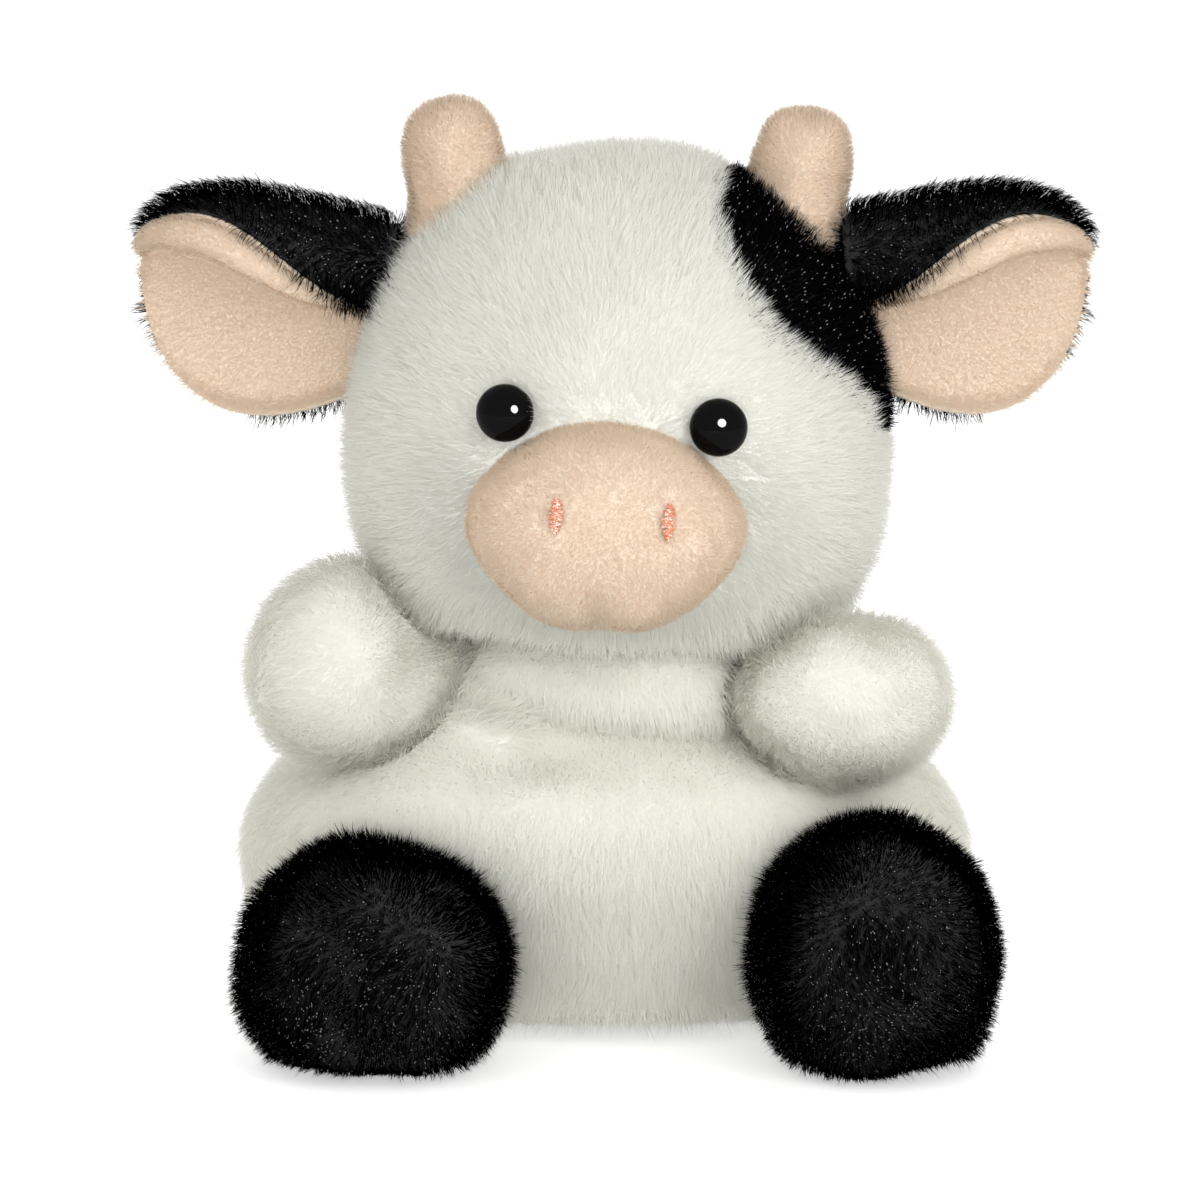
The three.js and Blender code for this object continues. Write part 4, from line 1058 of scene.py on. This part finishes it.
# Nostrils: a row of satin stitches over an oval
NOSTRIL_WIDTH, NOSTRIL_HEIGHT, NOSTRIL_SPACING, NOSTRIL_SHIFT, NOSTRIL_RISE = 2.2, 4.9, 13.7, 1.3, 15.4
STITCHED_WIDTH, STITCHED_HEIGHT = 0.76, 0.86  # shares of the oval that its stitches cover
THREAD_RADIUS, STITCHES, STITCH_RINGS, STITCH_SIDES = 0.17, 15, 9, 8
STITCH_LOW, STITCH_RISE = -0.2, 0.75  # a stitch's ends from the cloth, and how far it arches over them
for sign, side in ((-1, "left"), (1, "right")):
    middle_x = NOSTRIL_SHIFT + sign * NOSTRIL_SPACING / 2
    jitter = np.random.default_rng(350 + sign)
    verts, faces = [], []
    for stitch in range(STITCHES):
        high = (stitch / (STITCHES - 1) * 2 - 1) * 0.96
        reach = NOSTRIL_WIDTH / 2 * STITCHED_WIDTH * math.sqrt(1 - high**2 * 0.98)
        reach *= jitter.uniform(0.85, 1.15)
        z = MUZZLE_LOW + NOSTRIL_RISE + high * NOSTRIL_HEIGHT / 2 * STITCHED_HEIGHT
        slope = jitter.uniform(-0.35, 0.35)
        start = len(verts)
        verts.append(muzzle.face_point(middle_x - reach, z) + [0, 0.3, 0])
        for step in range(STITCH_RINGS):
            share = step / (STITCH_RINGS - 1) * 2 - 1
            centre = muzzle.face_point(middle_x + share * reach, z + slope * share * reach)
            out = muzzle.face_normal(middle_x + share * reach, z)
            centre = centre + out * (STITCH_LOW + STITCH_RISE * math.sqrt(max(0.0, 1 - share**2 * 0.9)))
            for t in np.arange(STITCH_SIDES) * 2 * np.pi / STITCH_SIDES:
                verts.append(centre + THREAD_RADIUS * (math.cos(t) * out + math.sin(t) * np.array([0, 0, 1])))
        verts.append(muzzle.face_point(middle_x + reach, z) + [0, 0.3, 0])
        faces += [tuple(start + corner for corner in face) for face in tube_faces(STITCH_SIDES, STITCH_RINGS)]
    stitches = make_mesh(f"nostril_stitches_{side}", moved(np.array(verts), head_matrix), faces)
    dress(stitches, "head", coral_thread, (f"nostril_{side}",))

# Ears: two sewn layers, cupped forward, the upper rim rolled over
EAR_WIDTH, EAR_CUP, EAR_PINCH, EAR_RIM_ROOT, EAR_RIM_TIP, EAR_RIM_EASE = 38.4, 19, 23.5, 157.5, 66, 2.27
EAR_WIDEST, EAR_ROOT_WIDTH, EAR_TIP_WIDTH = 0.52, 0.69, 0.18
EAR_RIM_START, EAR_RIM_END = 0.14, 0.7
EAR_FACING, EAR_TILT = 1, 9
EAR_ROWS, EAR_COLUMNS, EAR_STEPS = 60, 90, 24
EAR_ROOT_GROW = -0.3  # the pile begins this near the head's solid


def ear_points(length, share, across, offset):
    """Places on an ear's layer, and its outward normals, in the ear's own frame."""
    share, across, offset = np.broadcast_arrays(*(np.asarray(v, float) for v in (share, across, offset)))
    past = np.clip((share - EAR_WIDEST) / (1 - EAR_WIDEST), 0, 1)
    opened = np.sin(np.clip(share / EAR_WIDEST, 0, 1) * np.pi / 2)
    full = np.where(share > EAR_WIDEST, np.maximum(EAR_TIP_WIDTH, np.sqrt(1 - past**2)),
                    EAR_ROOT_WIDTH + (1 - EAR_ROOT_WIDTH) * opened)
    half = EAR_WIDTH / 2 * full
    cup = np.radians(EAR_CUP + EAR_PINCH * (1 - share) ** 2)
    rim = np.radians(EAR_RIM_TIP + (EAR_RIM_ROOT - EAR_RIM_TIP) * np.clip(1 - share, 0, 1) ** EAR_RIM_EASE)
    y, z = np.zeros_like(share), np.zeros_like(share)
    for step in range(EAR_STEPS):
        s = across * (step + 0.5) / EAR_STEPS
        heading = cup * s + rim * smoothstep(s, EAR_RIM_START, EAR_RIM_END)
        y = y - np.sin(heading) * half * across / EAR_STEPS
        z = z + np.cos(heading) * half * across / EAR_STEPS
    heading = cup * across + rim * smoothstep(across, EAR_RIM_START, EAR_RIM_END)
    normal = np.stack([np.zeros_like(share), np.cos(heading), np.sin(heading)], -1)
    return np.stack([share * length, y, z], -1) + normal * offset[..., None], normal


def sheet_faces(rows, columns):
    """Faces of a closed sheet between two grids of points, the near grid first."""
    def quad(*corners):
        return [(face * (rows + 1) + row) * (columns + 1) + column for face, row, column in corners]

    faces = []
    for row in range(rows):
        low = row + 1
        for column in range(columns):
            right = column + 1
            faces.append(quad((0, row, column), (0, row, right), (0, low, right), (0, low, column)))
            faces.append(quad((1, row, column), (1, low, column), (1, low, right), (1, row, right)))
        faces.append(quad((0, row, 0), (0, low, 0), (1, low, 0), (1, row, 0)))
        faces.append(quad((0, low, columns), (0, row, columns), (1, row, columns), (1, low, columns)))
    for column in range(columns):
        right = column + 1
        faces.append(quad((0, 0, right), (0, 0, column), (1, 0, column), (1, 0, right)))
        faces.append(quad((0, rows, column), (0, rows, right), (1, rows, right), (1, rows, column)))
    return np.array(faces)


# The lining is drawn round the upper rim in a soft lip under it
LINING_SPREAD = 1.02  # how much wider the lining is than the back
BACK_NEAR, BACK_THIN, BACK_SWELL = 0.2, 0.4, 0.7  # the back cloth's two sides, from the ear's middle surface
LINING_NEAR, LINING_FAR = -1.0, 0.1
ROOT_SWELL = 2.6  # of the back cloth over the fold, at the root
KNIT_ROW = 0.9
LIP_RINGS, LIP_END_RINGS, LIP_SIDES = 56, 24, 24
LIP_FROM, LIP_UNTIL = 0.02, 0.3  # its start along the rim, and its end across the tip
LIP_SHARES = (0.0, 0.12, 0.3, 0.5, 0.68, 0.8, 0.9, 1.0)  # along its whole length
LIP_RADII = (0.3, 0.7, 1.5, 2.1, 1.9, 1.3, 0.7, 0.3)
LIP_TUCK = 0.55  # how far behind the rim's edge its middle lies, in its own radius


def lip_tube(length):
    """The lip in the frame of an ear that points to +X, as a closed tube."""
    along = np.linspace(LIP_FROM, 1, LIP_RINGS)
    share = np.concatenate([np.sin(along * np.pi / 2), np.ones(LIP_END_RINGS)])
    across = np.concatenate([np.ones(LIP_RINGS), np.linspace(1, LIP_UNTIL, LIP_END_RINGS + 1)[1:]])
    edge, normal = ear_points(length, share, across, 0.0)
    for _ in range(12):
        edge[1:-1] += (edge[:-2] + edge[2:] - 2 * edge[1:-1]) / 3
        normal[1:-1] += (normal[:-2] + normal[2:] - 2 * normal[1:-1]) / 3
    normal = unit(normal)
    outward = unit(np.cross(normal, np.gradient(edge, axis=0)))
    steps = np.concatenate([[0], np.cumsum(np.linalg.norm(np.diff(edge, axis=0), axis=1))])
    radius = np.interp(steps / steps[-1], LIP_SHARES, LIP_RADII)[:, None]
    centre = edge - normal * (0.5 + 0.95 * radius) - outward * (LIP_TUCK * radius)
    turns = np.arange(LIP_SIDES) * 2 * np.pi / LIP_SIDES
    rings = centre[:, None] + radius[:, :, None] * (
        np.cos(turns)[None, :, None] * normal[:, None] + np.sin(turns)[None, :, None] * outward[:, None])
    ends = (centre[:1] - [[0.2, 0, 0]], centre[-1:])
    verts = np.concatenate([ends[0], rings.reshape(-1, 3), ends[1]])
    return verts, np.array(tube_faces(LIP_SIDES, len(edge)))


def to_edge(points, length, across):
    """Direction from places near an ear to its edge on one side, in its own frame, and how near that is."""
    share = np.linspace(0, 1, 60)
    edge, _ = ear_points(length, share, np.full(60, across), 0.0)
    line = np.stack([np.interp(points[:, 0], edge[:, 0], edge[:, k]) for k in range(3)], 1)
    way = line - points
    distance = np.linalg.norm(way, axis=1)
    return way / np.maximum(distance, 1e-6)[:, None], np.exp(-distance / 3.0)


row_share = np.sin(np.linspace(0, 1, EAR_ROWS + 1) * np.pi / 2)[:, None]
column_share = np.linspace(-1, 1, EAR_COLUMNS + 1)[None, :]
back_offset = BACK_THIN + BACK_SWELL * (1 - smoothstep(np.abs(column_share), 0.8, 1.0))
back_offset = back_offset + ROOT_SWELL * (1 - row_share) ** 2 * bell(column_share - 0.45, 0.45)
across_ear = np.tile(column_share, (EAR_ROWS + 1, 1)).ravel()
along_ear = np.tile(row_share, (1, EAR_COLUMNS + 1)).ravel()
ear_sheet = sheet_faces(EAR_ROWS, EAR_COLUMNS)
near_side = (EAR_ROWS + 1) * (EAR_COLUMNS + 1)
near_faces = ear_sheet[(ear_sheet < near_side).all(1)]
# Each ear's side, its length, where its root is on the head, and how far it is raised
EARS = ((-1, "left", 32.5, 180 - 9, 0.629, 3.7), (1, "right", 30.6, 9, 0.688, 8.5))
for sign, side, length, azimuth, root_share, rise in EARS:
    root = head.points(math.radians(azimuth), math.pi * root_share)
    matrix = head_matrix @ placed(root, x=EAR_TILT, y=-sign * rise, z=sign * EAR_FACING)
    flip = np.array([sign, 1, 1])

    def layer(near, far, rims=1.0):
        grids, ways = [], []
        for offset in (near, far):
            points, normal = ear_points(length, row_share, column_share * rims, offset)
            grids.append(points.reshape(-1, 3) * flip)
            ways.append(normal.reshape(-1, 3) * flip)
        faces = ear_sheet[:, ::-1] if sign > 0 else ear_sheet
        return moved(np.concatenate(grids), matrix), faces, np.concatenate(ways) @ matrix[:3, :3].T

    back_verts, back_faces, _ = layer(BACK_NEAR, back_offset)
    add_skin(f"ear_back_skin_{side}", f"ear_{side}", "black_pile", back_verts, back_faces,
             (f"ear_back_{side}",))
    lining_verts, lining_faces, lining_ways = layer(LINING_NEAR, LINING_FAR, LINING_SPREAD)
    add_skin(f"ear_lining_skin_{side}", f"ear_{side}", "peach_pile", lining_verts, lining_faces,
             (f"ear_lining_{side}",))

    def ear_comb(points, normals):
        """Towards the tip, and over the nearer edge."""
        middle = moved(np.array([[sign * length * 0.35, 0, 0]]), matrix)[0]
        way = unit(points - middle) * 0.6 + matrix[:3, 0] * sign
        local = moved_back(points, matrix) * flip
        for across in (-1.0, 1.0):
            pull, near = to_edge(local, length, across)
            way += 2.2 * near[:, None] * ((pull * flip) @ matrix[:3, :3].T)
        return way

    at_edge = (across_ear < -0.9) | (along_ear > 0.96)
    fringe = np.where(at_edge & (across_ear < 0) & (along_ear > 0.5), 0.3, 1.0)
    fringe = np.concatenate([fringe * ((across_ear > 0.88) & (along_ear < 0.6)), fringe])
    values = outside_head(back_verts, EAR_ROOT_GROW) * fringe
    grow_pile(f"ear_back_pile_{side}", f"ear_{side}", surface_of(back_verts, halves(back_faces), values),
              ear_comb, 401 + sign, BLACK, lean=46)

    def knit_rows_and_painted_shade(points, normals):
        """Fine rows of the knit, which run up the ear, and painted shade that shifts the whole lining towards
        its deep colours.
        """
        local = moved_back(points, matrix)
        # The -0.12 is painted shade; the sine waves are the knit's rows
        return -0.12 + 0.26 * np.sin(local[:, 0] * 2 * np.pi / KNIT_ROW + 0.8 * waves(local, 9.0, 45))

    inner = lining_verts[:near_side]
    lower_rim, tip_rim = np.clip((-across_ear - 0.86) / 0.1, 0, 1), np.clip((along_ear - 0.95) / 0.04, 0, 1)
    rim_share = np.maximum(lower_rim, tip_rim)
    values = outside_head(inner, EAR_ROOT_GROW) * (1 + 2.4 * rim_share)
    inner_surface = (inner, halves(near_faces), -unit(lining_ways[:near_side]), values)
    grow_pile(f"ear_lining_nap_{side}", f"ear_{side}", inner_surface, ear_comb, 411 + sign, NAP,
              length=0.8, lean=50, shade=knit_rows_and_painted_shade, shade_spread=0.2, glints=0.016)
    lip_verts, lip_faces = lip_tube(length)
    lip_verts = moved(lip_verts * flip, matrix)
    if sign > 0:
        lip_faces = lip_faces[:, ::-1]
    add_skin(f"ear_lip_skin_{side}", f"ear_{side}", "peach_pile", lip_verts, lip_faces, ())
    lip_surface = surface_of(lip_verts, halves(lip_faces), outside_head(lip_verts, EAR_ROOT_GROW))
    grow_pile(f"ear_lip_nap_{side}", f"ear_{side}", lip_surface, ear_comb, 421 + sign, NAP,
              length=1.0 if sign > 0 else 1.25, lean=52, messy=0.5, glints=0.01 if sign > 0 else 0.03)

# Arms and feet
ARM_TURNS = (-HEAD_TURN, 0.0, HEAD_TURN)
FOOT_SINK = 0.7


def foot_glints(points):
    """More of the hairs low on a foot are painted as glints, painted highlights where the light catches them.
    """
    return 0.07 + 0.2 * np.clip((18 - points[:, 2]) / 11, 0, 1)


for index, (name, (form, matrix, _)) in enumerate(limbs.items()):
    is_arm = name.startswith("arm")
    sink = SKIN_SINK if is_arm else FOOT_SINK
    verts, faces = form_grid(form, matrix, sides=128, rings=72, grow=-sink)
    tris = halves(faces)
    verts += normals_of(verts, tris) * uneven(verts, "limb", 71 + index)[:, None]
    verts[:, 2] = np.maximum(verts[:, 2], FLOOR_GAP)
    if is_arm:
        verts, depth = pressed(verts, tris, [head_room(1.6, ARM_TURNS)])
        verts = smoothed(verts, tris, depth > 0, rounds=3)
    ways = normals_of(verts, tris)
    kind, side = name.split("_")
    add_skin(f"{name}_skin", name, "white_pile" if is_arm else "black_pile", verts, faces,
             (f"{kind}_cover_{side}", f"{kind}_filling_{side}"))
    way_out = matrix[:3, 2] if is_arm else -matrix[:3, 1]
    centre = matrix[:3, 3] + way_out * (4 if is_arm else 2)

    def limb_comb(points, normals):
        way = way_out + 0.4 * unit(points - centre)
        way = way + np.array([0, 0, -0.35])
        return way + 0.3 * wave_ways(points, 10.0, 81 + index * 3)

    values = np.ones(len(verts))
    if is_arm:
        values = np.where(depth > 1.0, 0.6, values)
    values = np.where(trunk.ratio(verts, -1.5) < 1, 0.35, values)
    values *= np.clip((ways[:, 2] + 1.0) * 4, 0.3, 1) if not is_arm else 1.0
    if is_arm:
        kind_of_pile = dict(kind=WHITE, keep_off=[head_room(-SKIN_SINK)], length=3.7, lean=48, clump=0.12)
    else:
        kind_of_pile = dict(kind=BLACK, length=3.2, lean=32, glints=foot_glints)
    grow_pile(f"{name}_pile", name, (verts, tris, ways, values), limb_comb, 501 + index, **kind_of_pile)

# Tail: a cord of pile cloth and its tuft
TAIL_DIAMETER, TAIL_REACH, TAIL_DROP, TUFT_LENGTH, TUFT_DIAMETER = 4.4, 8, 7, 12, 8
CORD_SINK, CORD_SIDES, CORD_RINGS = 0.7, 24, 40
TUFT_SINK, TUFT_GAP = 1.0, 0.3
tail_root = trunk.points(math.pi / 2, math.radians(84))
path = np.array([[0, -TAIL_DIAMETER / 2, 0], [0, TAIL_REACH / 3, 0], [0, TAIL_REACH * 5 / 6, -TAIL_DROP / 2],
                 [0, TAIL_REACH, -TAIL_DROP]])
share = np.linspace(0.12, 1, CORD_RINGS)
line = np.stack([row_value(path[:, k], share) for k in range(3)], 1) + tail_root
along = unit(np.gradient(line, axis=0))
verts = [line[0]]
for centre, way in zip(line, along):
    right = np.array([1, 0, 0])
    up = np.cross(way, right)
    for t in np.arange(CORD_SIDES) * 2 * np.pi / CORD_SIDES:
        verts.append(centre + (TAIL_DIAMETER / 2 - CORD_SINK) * (math.cos(t) * right + math.sin(t) * up))
verts.append(line[-1])
cord_verts, cord_faces = np.array(verts), np.array(tube_faces(CORD_SIDES, CORD_RINGS))
add_skin("tail_cord_skin", "tail", "white_pile", cord_verts, cord_faces, ("tail_cord",))
cord_values = np.where(trunk.ratio(cord_verts, 0) > 1, 1.0, 0.0)
cord_surface = surface_of(cord_verts, halves(cord_faces), cord_values)
grow_pile("tail_cord_pile", "tail", cord_surface, combed(0, 0.5, -1.0), 601, WHITE, length=1.6, lean=55,
          density=12.0)
tuft = Form(TUFT_DIAMETER, TUFT_DIAMETER / 2, TUFT_DIAMETER / 2, TUFT_LENGTH,
            [0.7, 0.8, 0.92, 1, 1, 0.95, 0.85, 0.8, 0.8],
            at=(0, TAIL_REACH, -TAIL_DROP - TUFT_GAP - TUFT_LENGTH))
tuft_verts, tuft_faces = form_grid(tuft, placed(tail_root), sides=48, rings=36, grow=-TUFT_SINK)
add_skin("tail_tuft_skin", "tail", "black_pile", tuft_verts, tuft_faces, ("tail_tuft",))
tuft_surface = surface_of(tuft_verts, halves(tuft_faces), np.ones(len(tuft_verts)))
grow_pile("tail_tuft_pile", "tail", tuft_surface, combed(0, 0.1, -1.0), 602, BLACK, length=5.5, lean=70,
          density=18.0, messy=0.15, clump=0.3)

# Stage: a white floor and world as seen by the camera and in gloss, and plain soft light
WORLD_LIGHT, FLOOR_GLOW, FLOOR_COLOUR, FLOOR_REACH = 0.87, 0.52, (0.9, 0.9, 0.9, 1), 3


def seen_directly(n):
    """1 where the camera sees a surface, or sees it in gloss or through glass."""
    path = n.add("ShaderNodeLightPath")
    seen = path.outputs["Is Camera Ray"]
    for ray in ("Is Glossy Ray", "Is Transmission Ray"):
        most = n.add("ShaderNodeMath", operation="MAXIMUM")
        n.link(seen, most.inputs[0])
        n.link(path.outputs[ray], most.inputs[1])
        seen = most.outputs[0]
    return seen


floor_mesh = bpy.data.meshes.new("floor")
floor_corners = [(x * FLOOR_REACH, y * FLOOR_REACH, 0) for x, y in ((-1, -1), (1, -1), (1, 1), (-1, 1))]
floor_mesh.from_pydata(floor_corners, [], [(0, 1, 2, 3)])
floor = bpy.data.objects.new("floor", floor_mesh)
bpy.context.scene.collection.objects.link(floor)
n = Nodes(bpy.data.materials.new("floor"))
lit = n.add("ShaderNodeMath", operation="MULTIPLY")
n.link(seen_directly(n), lit.inputs[0])
lit.inputs[1].default_value = FLOOR_GLOW
glow = n.add("ShaderNodeEmission")
n.link(lit.outputs[0], glow.inputs["Strength"])
matt = n.add("ShaderNodeBsdfDiffuse", Color=FLOOR_COLOUR)
total = n.add("ShaderNodeAddShader")
n.link(glow.outputs[0], total.inputs[0])
n.link(matt.outputs[0], total.inputs[1])
floor_mesh.materials.append(n.finish(total))

world = bpy.data.worlds.new("world")
n = Nodes(world, "ShaderNodeOutputWorld")
background = n.add("ShaderNodeBackground", Color=(1, 1, 1, 1))
n.link(n.spread(seen_directly(n), WORLD_LIGHT, 1.0), background.inputs["Strength"])
bpy.context.scene.world = n.finish(background)


def area_light(name, way, distance, size, watts, in_gloss=True, on_matt=True):
    """A round lamp that far from the toy's middle, in that direction."""
    data = bpy.data.lights.new(name, "AREA")
    data.shape = "DISK"
    data.size = size
    data.energy = watts
    lamp = bpy.data.objects.new(name, data)
    lamp.location = Vector(CAMERA_TARGET) + Vector(way).normalized() * distance
    lamp.rotation_euler = (-Vector(way)).to_track_quat("-Z", "Y").to_euler()
    lamp.visible_glossy = in_gloss
    lamp.visible_diffuse = on_matt
    lamp.visible_transmission = on_matt
    bpy.context.scene.collection.objects.link(lamp)


area_light("key", (0.5, -0.76, 0.36), distance=1.1, size=0.7, watts=2.4, in_gloss=False)
area_light("front", (-0.1, -1.0, 0.05), distance=1.2, size=0.3, watts=3.2, in_gloss=False)
area_light("catch", (0.25, -0.91, 0.32), distance=1.0, size=0.36, watts=60.0, on_matt=False)
bpy.context.scene.view_settings.view_transform = "Standard"
